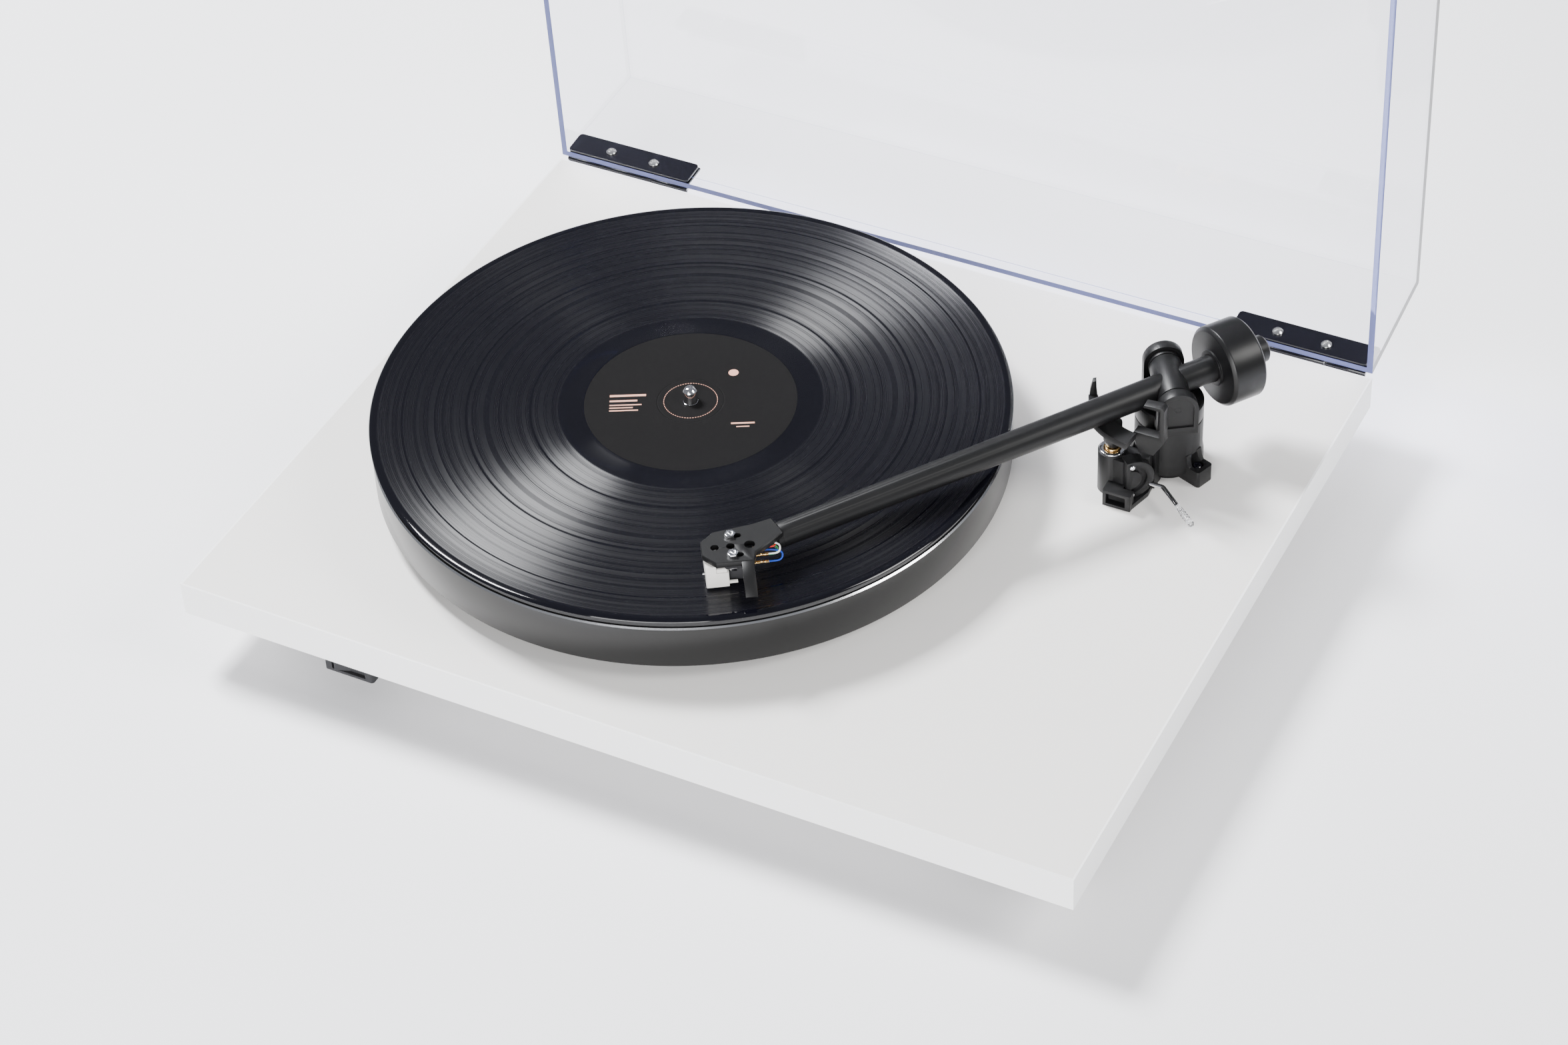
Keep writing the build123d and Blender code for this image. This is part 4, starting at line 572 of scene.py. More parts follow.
class Finish(Enum):
    """The finishes of the player, by the pieces that wear them."""

    TOP_LAMINATE = Skin("white_top_laminate", (0.80, 0.785, 0.765), 0.42, 0.012, 0.5, 0.002, 0.05)
    EDGE_BAND = Skin("white_edge_band", (0.92, 0.92, 0.92), 0.38, 0.01, 0.6, 0.002, 0.05)
    CORE_BOARD = Skin("pressed_board", (0.42, 0.32, 0.2), 0.8, 0.35, 0.7, 0.02, 0.1)
    FOOT_RUBBER = Skin("foot_rubber", (0.016, 0.016, 0.017), 0.62, 0.1, 0.5, 0.01, 0.1, dust=0.05)
    ZINC = Skin("zinc_plate", (0.62, 0.61, 0.6), 0.3, 0.1, 0.5, 0.002, 0.12, 1.0)
    BRASS = Skin("brass", (0.83, 0.55, 0.22), 0.2, 0.06, 0.4, 0.002, 0.08, 1.0)
    GOLD = Skin("gold_plate", (0.95, 0.62, 0.25), 0.16, 0.05, 0.3, 0.0, 0.05, 1.0)
    STEEL = Skin("ground_steel", (0.6, 0.6, 0.61), 0.24, 0.06, 0.3, 0.002, 0.1, 1.0)
    CHROME = Skin("chrome", (0.82, 0.82, 0.84), 0.07, 0.02, 0.5, 0.0, 0.03, 1.0)
    PLATTER_SATIN = Skin("platter_satin", (0.0035, 0.0035, 0.0039), 0.30, 0.05, 0.35, 0.003, 0.05, coat=0.25)
    # Bright metal on the black platter's top chamfer is a painted highlight.
    PLATTER_EDGE_HIGHLIGHT = Skin("platter_edge_painted_highlight", (0.75, 0.76, 0.78), 0.18, 0.03, 0.4, 0.0, 0.04, 1.0)
    ARM_SATIN = Skin("arm_satin", (0.0035, 0.0035, 0.0039), 0.42, 0.06, 0.25, 0.004, 0.06, dust=0.004)
    # The arm moulding's paler edges are rubbed wear plus a painted edge highlight.
    ARM_MOULDING = Skin(
        "arm_moulding", (0.0035, 0.0035, 0.0039), 0.42, 0.1, 0.35, 0.010, 0.1,
        dust=0.006, wear_and_sheen=0.15, wear_and_sheen_tone=(0.05, 0.05, 0.052),
    )
    WEIGHT_SATIN = Skin("weight_satin", (0.0035, 0.0035, 0.0039), 0.36, 0.05, 0.3, 0.003, 0.05, dust=0.004)
    HINGE_BLACK = Skin("hinge_black", (0.0035, 0.0035, 0.006), 0.16, 0.05, 0.5, 0.002, 0.06, coat=0.3)
    CASE_PLASTIC = Skin("case_plastic", (0.02, 0.02, 0.022), 0.55, 0.08, 0.5, 0.015, 0.1, dust=0.02)
    STYLUS_WHITE = Skin("stylus_white", (0.74, 0.72, 0.68), 0.3, 0.04, 0.4, 0.002, 0.05)
    SCREW_BRIGHT = Skin("bright_screw", (0.7, 0.7, 0.69), 0.2, 0.05, 0.4, 0.002, 0.1, 1.0)
    BOARD_GREEN = Skin("circuit_board", (0.02, 0.12, 0.05), 0.35, 0.2, 1.2, 0.01, 0.1)
    BELT_RUBBER = Skin("belt_rubber", (0.015, 0.015, 0.015), 0.7, 0.1, 0.3, 0.01, 0.1)
    COPPER_INK = Skin("copper_ink", (0.62, 0.33, 0.24), 0.5, 0.12, 0.3, 0.0, 0.05, 0.3)
    WIRE_RED = Skin("wire_red", (0.55, 0.02, 0.015), 0.35, 0.04, 0.3, 0.0, 0.05)
    WIRE_GREEN = Skin("wire_green", (0.02, 0.24, 0.06), 0.35, 0.04, 0.3, 0.0, 0.05)
    WIRE_WHITE = Skin("wire_white", (0.8, 0.79, 0.77), 0.35, 0.04, 0.3, 0.0, 0.05)
    WIRE_BLUE = Skin("wire_blue", (0.015, 0.06, 0.42), 0.35, 0.04, 0.3, 0.0, 0.05)
    LID_CLEAR = Clear("lid_clear", (0.955, 0.957, 0.985), 0.012)
    LID_RIM = Clear("lid_cut_edge", (0.16, 0.19, 0.50), 0.12, 0.5, (0.8, 0.83, 0.98))
    GRIP_CLEAR = Clear("grip_clear", (0.97, 0.98, 1.0), 0.03)
    VINYL = Vinyl()
    FELT = Felt()
    LABEL = LabelPaper()

    def material(self) -> bpy.types.Material:
        """Returns the finish's material, made the first time it is asked for."""
        if self.name not in MADE_FINISHES:
            MADE_FINISHES[self.name] = self.value.build()
        return MADE_FINISHES[self.name]


# ---------------------------------------------------------------- mesh work


def finish_piece(
    name: str,
    mesh: bpy.types.Mesh,
    body: str,
    finishes: Sequence[Finish],
    nodes: Sequence[str] = (),
) -> bpy.types.Object:
    """Puts a finished mesh on the player.

    Args:
        name: The piece's name.
        mesh: Its mesh, in place.
        body: The body it rides on.
        finishes: Its finishes, in the order of the mesh's material numbers.
        nodes: CAD nodes that it stands for.

    Returns:
        The piece.
    """
    mesh.name = name
    numbers = [polygon.material_index for polygon in mesh.polygons]
    mesh.materials.clear()
    for finish in finishes:
        mesh.materials.append(finish.material())
    for polygon, number in zip(mesh.polygons, numbers):
        polygon.material_index = min(number, len(finishes) - 1)
    piece = new_object(name, mesh)
    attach(piece, body)
    if nodes:
        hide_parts(*nodes)
    LOG.info("%s: %d faces, rides on %s", name, len(mesh.polygons), body)
    return piece


def strip_width(face: bmesh.types.BMFace) -> float:
    """Returns about how wide a face is across its narrow way, in metres."""
    return 2 * face.calc_area() / max(face.calc_perimeter(), 1e-9)


def smooth_by_angle(mesh: bpy.types.Mesh, degrees: float) -> None:
    """Shades curved strips smooth, leaves wide faces flat, and keeps edges sharper than an angle crisp."""
    work = bmesh.new()
    work.from_mesh(mesh)
    limit = math.radians(degrees)
    for face in work.faces:
        face.smooth = strip_width(face) < FLAT_WIDTH
    for edge in work.edges:
        edge.smooth = len(edge.link_faces) == 2 and edge.calc_face_angle(0.0) < limit
    work.to_mesh(mesh)
    work.free()


def baked(piece: bpy.types.Object) -> bpy.types.Mesh:
    """Returns a plain mesh of an object with its modifiers applied, and removes the object."""
    bpy.context.view_layer.update()
    shown = piece.evaluated_get(bpy.context.evaluated_depsgraph_get())
    mesh = bpy.data.meshes.new_from_object(shown)
    bpy.data.objects.remove(piece)
    return mesh


def body_of(node: str) -> str:
    """Returns the body that a CAD node rides on."""
    return next(b for b, nodes in frame["record"]["behaviour"]["bodies"].items() if node in nodes)


def refined_mesh(node: str, bevel_mm: float, sharp: float, bevel_material: int = -1) -> bpy.types.Mesh:
    """Makes a merged copy of a CAD node with its corners broken and its curves smooth.

    Args:
        node: The CAD node.
        bevel_mm: How much each sharp edge is broken, or 0.
        sharp: Edges over this many degrees are corners.
        bevel_material: The material number that the broken edges get, or -1.

    Returns:
        The copy's mesh.
    """
    mesh = frame["nodes"][node].data.copy()
    work = bmesh.new()
    work.from_mesh(mesh)
    bmesh.ops.remove_doubles(work, verts=work.verts, dist=MERGE_DISTANCE)
    flat = math.radians(FLAT_ANGLE)
    bmesh.ops.dissolve_limit(work, angle_limit=flat, verts=work.verts, edges=work.edges)
    work.to_mesh(mesh)
    work.free()
    for polygon in mesh.polygons:
        polygon.material_index = 0
    smooth_by_angle(mesh, sharp)
    if bevel_mm <= 0:
        return mesh
    carrier = new_object("carrier", mesh)
    bevel = carrier.modifiers.new("broken_edges", "BEVEL")
    bevel.width = bevel_mm * MM
    bevel.segments = 2
    bevel.limit_method = "ANGLE"
    bevel.angle_limit = math.radians(sharp)
    bevel.use_clamp_overlap = True
    if bevel_material >= 0:
        mesh.materials.clear()
        for number in range(bevel_material + 1):
            mesh.materials.append(None)
        bevel.material = bevel_material
    result = baked(carrier)
    smooth_by_angle(result, sharp)
    return result


def stand_in(name: str, node: str, mesh: bpy.types.Mesh, *finishes: Finish) -> bpy.types.Object:
    """Puts a finished mesh in the place of one CAD node, on its body, and hides the node."""
    return finish_piece(name, mesh, body_of(node), finishes, [node])


@dataclass
class Lathe:
    """Turns profiles into closed rings of faces."""

    axes: Axes
    segments: int = 256
    work: bmesh.types.BMesh = field(default_factory=bmesh.new)

    def turn(self, profile: Profile, material: int = 0, smooth: bool = True) -> "Lathe":
        """Turns a closed profile of (radius, height) points round the axes' z.

        Args:
            profile: The points in millimetres, anticlockwise with the axis at the left.
            material: The material number of its faces.
            smooth: True to shade the ring smooth.

        Returns:
            The lathe, for another turn.
        """
        rings: list[list[bmesh.types.BMVert]] = []
        for radius, height in profile:
            if radius < 1e-6:
                rings.append([self.work.verts.new(self.axes.at(0, 0, height))])
                continue
            ring = []
            for step in range(self.segments):
                angle = 2 * math.pi * step / self.segments
                place = self.axes.at(radius * math.cos(angle), radius * math.sin(angle), height)
                ring.append(self.work.verts.new(place))
            rings.append(ring)
        for first, second in zip(rings, rings[1:] + rings[:1]):
            if len(first) == 1 and len(second) == 1:
                continue
            for step in range(self.segments):
                after = (step + 1) % self.segments
                corners = [first[step % len(first)], first[after % len(first)]]
                corners += [second[after % len(second)], second[step % len(second)]]
                unique = list(dict.fromkeys(corners))
                face = self.work.faces.new(unique)
                face.material_index = material
                face.smooth = smooth
        return self

    def mesh(self, sharp: float = 28.0) -> bpy.types.Mesh:
        """Returns the turned mesh with crisp corners over an angle, in degrees."""
        bmesh.ops.recalc_face_normals(self.work, faces=self.work.faces)
        made = bpy.data.meshes.new("turned")
        self.work.to_mesh(made)
        self.work.free()
        smooth_by_angle(made, sharp)
        return made


def rounded(profile: Profile, radius: float, steps: int = 4) -> list[tuple[float, float]]:
    """Rounds every corner of a closed profile that is not on the axis.

    Args:
        profile: The corner points in millimetres.
        radius: How far from a corner its rounding starts.
        steps: Points on each rounding.

    Returns:
        The points of the rounded profile.
    """
    points: list[tuple[float, float]] = []
    count = len(profile)
    for index, here in enumerate(profile):
        before = Vector(profile[index - 1])
        corner = Vector(here)
        after = Vector(profile[(index + 1) % count])
        if corner.x < 1e-6:
            points.append((corner.x, corner.y))
            continue
        reach = min(radius, (before - corner).length * 0.45, (after - corner).length * 0.45)
        start = corner + (before - corner).normalized() * reach
        end = corner + (after - corner).normalized() * reach
        for step in range(steps + 1):
            t = step / steps
            point = start * (1 - t) ** 2 + corner * (2 * t * (1 - t)) + end * t**2
            points.append((point.x, point.y))
    return points


# ---------------------------------------------------------------- geometry nodes


class NodeMaker(TreeBuilder):
    """Draws one geometry node tree with named inputs."""

    def __init__(self, name: str, sizes: dict[str, float]) -> None:
        """Makes the tree.

        Args:
            name: The tree's name.
            sizes: Its named inputs and their values.
        """
        super().__init__(bpy.data.node_groups.new(name, "GeometryNodeTree"))
        self.tree.interface.new_socket(name="Geometry", in_out="INPUT", socket_type="NodeSocketGeometry")
        for key, value in sizes.items():
            socket = self.tree.interface.new_socket(name=key, in_out="INPUT", socket_type="NodeSocketFloat")
            socket.default_value = value
        self.tree.interface.new_socket(name="Material", in_out="INPUT", socket_type="NodeSocketMaterial")
        self.tree.interface.new_socket(name="Geometry", in_out="OUTPUT", socket_type="NodeSocketGeometry")
        self.into = self.tree.nodes.new("NodeGroupInput")
        self.out = self.tree.nodes.new("NodeGroupOutput")

    def close(self, geometry: bpy.types.NodeSocket) -> None:
        """Ends the tree in Realize Instances and Set Material."""
        real = self.node("GeometryNodeRealizeInstances", {0: geometry})
        finish = self.into.outputs["Material"]
        dressed = self.node("GeometryNodeSetMaterial", {0: real.outputs[0], "Material": finish})
        self.tree.links.new(dressed.outputs[0], self.out.inputs[0])

    def run(self, source: bpy.types.ID, finish: Finish, **sizes: float) -> bpy.types.Mesh:
        """Runs the tree on a mesh or curve and returns the plain result.

        Args:
            source: The mesh or curve that goes in.
            finish: The finish that comes out.
            sizes: Values for inputs, with underscores for spaces.

        Returns:
            The mesh.
        """
        carrier = new_object("carrier", source)
        modifier = carrier.modifiers.new("nodes", "NODES")
        modifier.node_group = self.tree
        values = {key.replace("_", " "): value for key, value in sizes.items()}
        for item in self.tree.interface.items_tree:
            if item.in_out == "INPUT" and item.name in values:
                modifier[item.identifier] = values[item.name]
            elif item.in_out == "INPUT" and item.name == "Material":
                modifier[item.identifier] = finish.material()
        return baked(carrier)


def tube_tree() -> NodeMaker:
    """Returns the tree that turns a curve into a closed round tube."""
    maker = NodeMaker("round_tube", {"Radius": 0.4 * MM})
    round_size = {"Resolution": 14, "Radius": maker.into.outputs["Radius"]}
    section = maker.node("GeometryNodeCurvePrimitiveCircle", round_size)
    tube = maker.node(
        "GeometryNodeCurveToMesh",
        {"Curve": maker.into.outputs["Geometry"], "Profile Curve": section.outputs[0], "Fill Caps": True},
    )
    smooth = maker.node("GeometryNodeSetShadeSmooth", {0: tube.outputs[0]})
    maker.close(smooth.outputs[0])
    return maker


def ring_marks_tree() -> NodeMaker:
    """Returns the tree that sets small printed dashes round a circle."""
    sizes = {"Ring Radius": 12.6 * MM, "Count": 64.0, "Dash Length": 0.7 * MM, "Dash Width": 0.3 * MM}
    maker = NodeMaker("ring_marks", {**sizes, "Thickness": INK_THICKNESS})
    inputs = maker.into.outputs
    count = maker.node("FunctionNodeFloatToInt", {0: inputs["Count"]})
    ring_size = {"Vertices": count.outputs[0], "Radius": inputs["Ring Radius"]}
    ring = maker.node("GeometryNodeMeshCircle", ring_size)
    size = maker.node(
        "ShaderNodeCombineXYZ", {0: inputs["Dash Width"], 1: inputs["Dash Length"], 2: inputs["Thickness"]}
    )
    dash = maker.node("GeometryNodeMeshCube", {"Size": size.outputs[0]})
    place = maker.node("GeometryNodeInputPosition")
    turn = maker.node(
        "FunctionNodeAlignRotationToVector", {"Vector": place.outputs[0]}, axis="X", pivot_axis="Z"
    )
    placed = maker.node(
        "GeometryNodeInstanceOnPoints",
        {"Points": ring.outputs[0], "Instance": dash.outputs[0], "Rotation": turn.outputs[0]},
    )
    maker.close(placed.outputs[0])
    return maker


def screw_head_tree() -> NodeMaker:
    """Returns the tree that sets one head mesh on each of the points that come in.

    Each point carries its direction in the attribute "aim".
    """
    maker = NodeMaker("screw_heads", {"Scale": 1.0})
    maker.tree.interface.new_socket(name="Head", in_out="INPUT", socket_type="NodeSocketObject")
    head = maker.node("GeometryNodeObjectInfo", {"Object": maker.into.outputs["Head"]})
    aim = maker.node("GeometryNodeInputNamedAttribute", {"Name": "aim"}, data_type="FLOAT_VECTOR")
    turn = maker.node("FunctionNodeAlignRotationToVector", {"Vector": aim.outputs[0]}, axis="Z")
    placed = maker.node(
        "GeometryNodeInstanceOnPoints",
        {
            "Points": maker.into.outputs["Geometry"],
            "Instance": head.outputs["Geometry"],
            "Rotation": turn.outputs[0],
            "Scale": maker.into.outputs["Scale"],
        },
    )
    maker.close(placed.outputs[0])
    return maker


TUBE = tube_tree()
RING_MARKS = ring_marks_tree()
SCREW_HEADS = screw_head_tree()


# ---------------------------------------------------------------- shared piece makers


@dataclass(frozen=True)
class Copy:
    """How one CAD node's refined copy is made."""

    node: str
    finish: Finish
    bevel_mm: float = 0.2
    sharp: float = CORNER_ANGLE


@dataclass(frozen=True)
class ScrewSet:
    """The screws of one CAD node, all of one size: the first screw's shape set at each screw's place, all turned
    alike.
    """

    node: str
    finish: Finish
    bevel_mm: float = 0.12

    def islands(self, mesh: bpy.types.Mesh) -> list[list[int]]:
        """Returns the vertex numbers of each separate screw in a mesh."""
        work = bmesh.new()
        work.from_mesh(mesh)
        seen: set[int] = set()
        found = []
        for start in work.verts:
            if start.index in seen:
                continue
            stack, members = [start], []
            seen.add(start.index)
            while stack:
                vert = stack.pop()
                members.append(vert.index)
                for edge in vert.link_edges:
                    other = edge.other_vert(vert)
                    if other.index not in seen:
                        seen.add(other.index)
                        stack.append(other)
            found.append(members)
        work.free()
        return found

    def build(self) -> bpy.types.Object:
        """Returns the screws as one piece."""
        mesh = refined_mesh(self.node, self.bevel_mm, CORNER_ANGLE)
        groups = self.islands(mesh)
        places = [sum((mesh.vertices[i].co for i in g), Vector()) / len(g) for g in groups]
        first = set(groups[0])
        work = bmesh.new()
        work.from_mesh(mesh)
        work.verts.ensure_lookup_table()
        extra = [v for v in work.verts if v.index not in first]
        bmesh.ops.delete(work, geom=extra, context="VERTS")
        bmesh.ops.translate(work, vec=-places[0], verts=work.verts)
        shape = bpy.data.meshes.new("one_screw")
        work.to_mesh(shape)
        work.free()
        one = bpy.data.objects.new("one_screw", shape)
        points = bpy.data.meshes.new("screw_places")
        points.from_pydata([tuple(p) for p in places], [], [])
        aim = points.attributes.new("aim", "FLOAT_VECTOR", "POINT")
        for number in range(len(places)):
            aim.data[number].vector = (0.0, 0.0, 1.0)
        result = SCREW_HEADS.run(points, self.finish, Head=one)
        bpy.data.objects.remove(one)
        smooth_by_angle(result, CORNER_ANGLE)
        return stand_in(f"{self.node}_piece", self.node, result, self.finish)


def dress(node: str, finish: Finish) -> None:
    """Gives a CAD node that stays as it is its finish."""
    mesh = frame["nodes"][node].data
    mesh.materials.clear()
    mesh.materials.append(finish.material())
    LOG.info("%s: CAD node dressed", node)


@dataclass
class Assembly:
    """A group of pieces of the player that belong together."""

    copies: tuple[Copy, ...] = ()
    screws: tuple[ScrewSet, ...] = ()
    dressed: tuple[tuple[str, Finish], ...] = ()

    def build(self) -> None:
        """Makes every piece of the group."""
        for copy in self.copies:
            mesh = refined_mesh(copy.node, copy.bevel_mm, copy.sharp)
            stand_in(f"{copy.node}_piece", copy.node, mesh, copy.finish)
        for screws in self.screws:
            screws.build()
        for node, finish in self.dressed:
            dress(node, finish)
        self.details()

    def details(self) -> None:
        """Adds what only this group has."""


# ---------------------------------------------------------------- plinth and what is under it


@dataclass
class Plinth(Assembly):
    """The board plinth with its white skins, edge band and feet."""

    copies: tuple[Copy, ...] = (
        Copy("plinth_top_skin", Finish.TOP_LAMINATE, 0.0),
        Copy("plinth_base_skin", Finish.TOP_LAMINATE, 0.0),
        Copy("edge_band", Finish.EDGE_BAND, 0.25),
        Copy("feet", Finish.FOOT_RUBBER, 0.6, 40.0),
    )
    screws: tuple[ScrewSet, ...] = (ScrewSet("underside_screws", Finish.ZINC),)
    dressed: tuple[tuple[str, Finish], ...] = (("plinth_core", Finish.CORE_BOARD),)


@dataclass
class Electrics(Assembly):
    """The boxes, sockets and switch under the plinth."""

    copies: tuple[Copy, ...] = (
        Copy("phono_case", Finish.CASE_PLASTIC, 0.4),
        Copy("phono_sockets", Finish.GOLD, 0.08),
        Copy("power_socket", Finish.CASE_PLASTIC, 0.2),
        Copy("switch_case", Finish.CASE_PLASTIC, 0.4),
        Copy("power_rocker", Finish.CASE_PLASTIC, 0.3),
        Copy("motor_cup", Finish.CASE_PLASTIC, 0.4),
    )
    dressed: tuple[tuple[str, Finish], ...] = (
        ("phono_board", Finish.BOARD_GREEN),
        ("motor_can", Finish.STEEL),
    )


@dataclass
class Drive(Assembly):
    """The bearing, sub-platter, motor pulley and belt."""

    copies: tuple[Copy, ...] = (
        Copy("bearing_housing", Finish.BRASS, 0.2),
        Copy("housing_nuts", Finish.ZINC, 0.2),
        Copy("sub_platter", Finish.CASE_PLASTIC, 0.3),
        Copy("drive_pulley", Finish.STEEL, 0.1),
        Copy("spindle", Finish.CHROME, 0.15),
        Copy("drive_belt", Finish.BELT_RUBBER, 0.0),
    )
    dressed: tuple[tuple[str, Finish], ...] = (
        ("bearing_ball", Finish.STEEL),
        ("motor_shaft", Finish.STEEL),
    )


# ---------------------------------------------------------------- platter and record


@dataclass
class Platter(Assembly):
    """The spun platter with a painted highlight on its top edge chamfer, and the felt mat on it."""

    edge_radius: float = 1.0
    highlight_chamfer_width: float = 0.7
    boss_clearance: float = 0.4
    shaft_hole: float = 7.0
    mat_edge: float = 0.6
    mat_hole: float = 3.8
    axes: Axes = field(default_factory=lambda: upright(SPINDLE, 0.0))

    def details(self) -> None:
        """Turns the platter and the mat."""
        radius = box_radius("platter")
        base, top = box_heights("platter")
        hub_high = box_heights("sub_platter")[1] + self.boss_clearance
        hub = box_radius("sub_platter") + self.boss_clearance
        lathe = Lathe(self.axes, 384)
        sides = [
            (hub, base),
            (radius - self.edge_radius, base),
            (radius - self.edge_radius * 0.3, base + self.edge_radius * 0.3),
            (radius, base + self.edge_radius),
            (radius, top - self.highlight_chamfer_width),
            (radius - self.highlight_chamfer_width, top),
            (self.shaft_hole, top),
            (self.shaft_hole, hub_high),
            (hub, hub_high),
        ]
        mesh = lathe.turn(sides).mesh(30.0)
        # The chamfer faces get the bright finish: a painted highlight.
        for polygon in mesh.polygons:
            polygon.material_index = int(
                polygon.center.z * 1000 > top - self.highlight_chamfer_width and abs(polygon.normal.z) < 0.9
                and Vector((polygon.center.x - SPINDLE.x, polygon.center.y - SPINDLE.y)).length > 0.1
            )
        stand_in("platter_piece", "platter", mesh, Finish.PLATTER_SATIN, Finish.PLATTER_EDGE_HIGHLIGHT)
        mat = box_radius("platter_mat")
        under, over = box_heights("platter_mat")
        corners = [(self.mat_hole, under), (mat, under), (mat, over), (self.mat_hole, over)]
        mesh = Lathe(self.axes, 256).turn(rounded(corners, self.mat_edge)).mesh(50.0)
        stand_in("felt_mat", "platter_mat", mesh, Finish.FELT)


@dataclass
class Record(Assembly):
    """The pressed record and its label."""

    groove_depth: float = 0.2
    groove_start: float = 52.6
    groove_end: float = 146.6
    hole: float = 3.75
    rim_curve: tuple[tuple[float, float], ...] = ((1.6, 0.0), (0.9, 0.18), (0.35, 0.5), (0.0, 1.0))
    label_bars: tuple[tuple[float, float, float, float], ...] = (
        (-38.0, 5.2, 17.0, 1.5),
        (-38.0, 1.4, 13.0, 1.2),
        (-38.0, -1.6, 15.0, 0.8),
        (-38.0, -3.6, 11.0, 0.8),
        (-38.0, -5.6, 13.5, 0.8),
        (19.0, -17.5, 11.0, 1.1),
        (21.5, -20.0, 6.0, 0.7),
    )
    label_disc: tuple[float, float, float] = (20.0, 19.5, 2.4)
    label_turn: float = 27.0
    axes: Axes = field(default_factory=lambda: upright(SPINDLE, 0.0))

    def details(self) -> None:
        """Turns the record, its label and the printing on it."""
        radius, label = box_radius("record"), box_radius("record_label")
        base, top = box_heights("record")
        under_label = box_heights("record_label")[0]
        rim = [
            (self.hole, base),
            *((radius - inward, base + rise) for inward, rise in self.rim_curve),
            *((radius - inward, top - rise) for inward, rise in self.rim_curve[-2::-1]),
            (self.groove_end + 0.6, top),
            (self.groove_end, top - self.groove_depth),
        ]
        steps = 12
        span = self.groove_end - self.groove_start
        field_rings = [
            (self.groove_end - span * step / steps, top - self.groove_depth) for step in range(1, steps + 1)
        ]
        middle_part = [
            (self.groove_start - 0.8, top),
            (label + 0.1, top),
            (label + 0.1, under_label),
            (self.hole, under_label),
        ]
        mesh = Lathe(self.axes, 384).turn([*rim, *field_rings, *middle_part]).mesh(30.0)
        self.unwrap(mesh)
        stand_in("pressed_record", "record", mesh, Finish.VINYL)
        corners = [(self.hole, under_label), (label, under_label), (label, top), (self.hole, top)]
        mesh = Lathe(self.axes, 192).turn(corners).mesh(30.0)
        stand_in("label_disc", "record_label", mesh, Finish.LABEL)
        self.print_label(top)

    def unwrap(self, mesh: bpy.types.Mesh) -> None:
        """Gives the record a map that runs outwards in u and round in v."""
        layer = mesh.uv_layers.new(name="radial")
        for polygon in mesh.polygons:
            base = math.atan2(polygon.center.y - SPINDLE.y, polygon.center.x - SPINDLE.x)
            for loop in polygon.loop_indices:
                place = mesh.vertices[mesh.loops[loop].vertex_index].co
                flat = Vector((place.x - SPINDLE.x, place.y - SPINDLE.y))
                turn = math.atan2(flat.y, flat.x) - base
                turn = (turn + math.pi) % (2 * math.pi) - math.pi
                layer.data[loop].uv = (flat.length * 6.0, (base + turn) / (2 * math.pi) + 0.5)

    def print_label(self, top: float) -> None:
        """Prints the label: a ring of dashes, plain bars and a dot.

        Args:
            top: The label's height in millimetres.
        """
        turn = Matrix.Translation((SPINDLE.x, SPINDLE.y, top * MM)) @ Matrix.Rotation(
            math.radians(self.label_turn), 4, "Z"
        )
        ring = RING_MARKS.run(bpy.data.meshes.new("none"), Finish.COPPER_INK)
        ring.transform(turn)
        finish_piece("label_ring_marks", ring, "platter", [Finish.COPPER_INK], ())
        work = bmesh.new()
        for x, y, width, height in self.label_bars:
            made = bmesh.ops.create_cube(work, size=1.0)["verts"]
            bmesh.ops.scale(work, vec=(width * MM, height * MM, INK_THICKNESS), verts=made)
            bmesh.ops.translate(work, vec=((x + width / 2) * MM, y * MM, 0.0), verts=made)
        x, y, radius = self.label_disc
        made = bmesh.ops.create_cone(
            work, cap_ends=True, segments=32, radius1=radius * MM, radius2=radius * MM, depth=INK_THICKNESS
        )["verts"]
        bmesh.ops.translate(work, vec=(x * MM, y * MM, 0.0), verts=made)
        bmesh.ops.recalc_face_normals(work, faces=work.faces)
        mesh = bpy.data.meshes.new("bars")
        work.to_mesh(mesh)
        work.free()
        mesh.transform(turn)
        finish_piece("label_bars", mesh, "platter", [Finish.COPPER_INK], ())


# ---------------------------------------------------------------- arm


@dataclass
class ArmBase(Assembly):
    """The base that the arm stands on, with its screws and rest clip."""

    copies: tuple[Copy, ...] = (
        Copy("arm_base", Finish.ARM_MOULDING, 0.35),
        Copy("arm_rest_clip", Finish.ARM_MOULDING, 0.3),
        Copy("arm_yoke", Finish.ARM_SATIN, 0.4),
        Copy("yoke_pins", Finish.ARM_SATIN, 0.1),
    )
    screws: tuple[ScrewSet, ...] = (ScrewSet("arm_base_screws", Finish.HINGE_BLACK),)


@dataclass
class Lift(Assembly):
    """The arm lift with its bezel, bush, cam cover, lever and platform."""

    copies: tuple[Copy, ...] = (
        Copy("lift_body", Finish.ARM_MOULDING, 0.3),
        Copy("lift_bezel", Finish.CHROME, 0.15),
        Copy("lift_bush", Finish.BRASS, 0.1),
        Copy("lift_cam_cover", Finish.ARM_MOULDING, 0.25),
        Copy("lift_platform", Finish.ARM_MOULDING, 0.35),
        Copy("lift_cover_screws", Finish.CHROME, 0.1),
        Copy("lift_lever", Finish.CHROME, 0.0),
        Copy("lever_grip", Finish.GRIP_CLEAR, 0.08),
    )


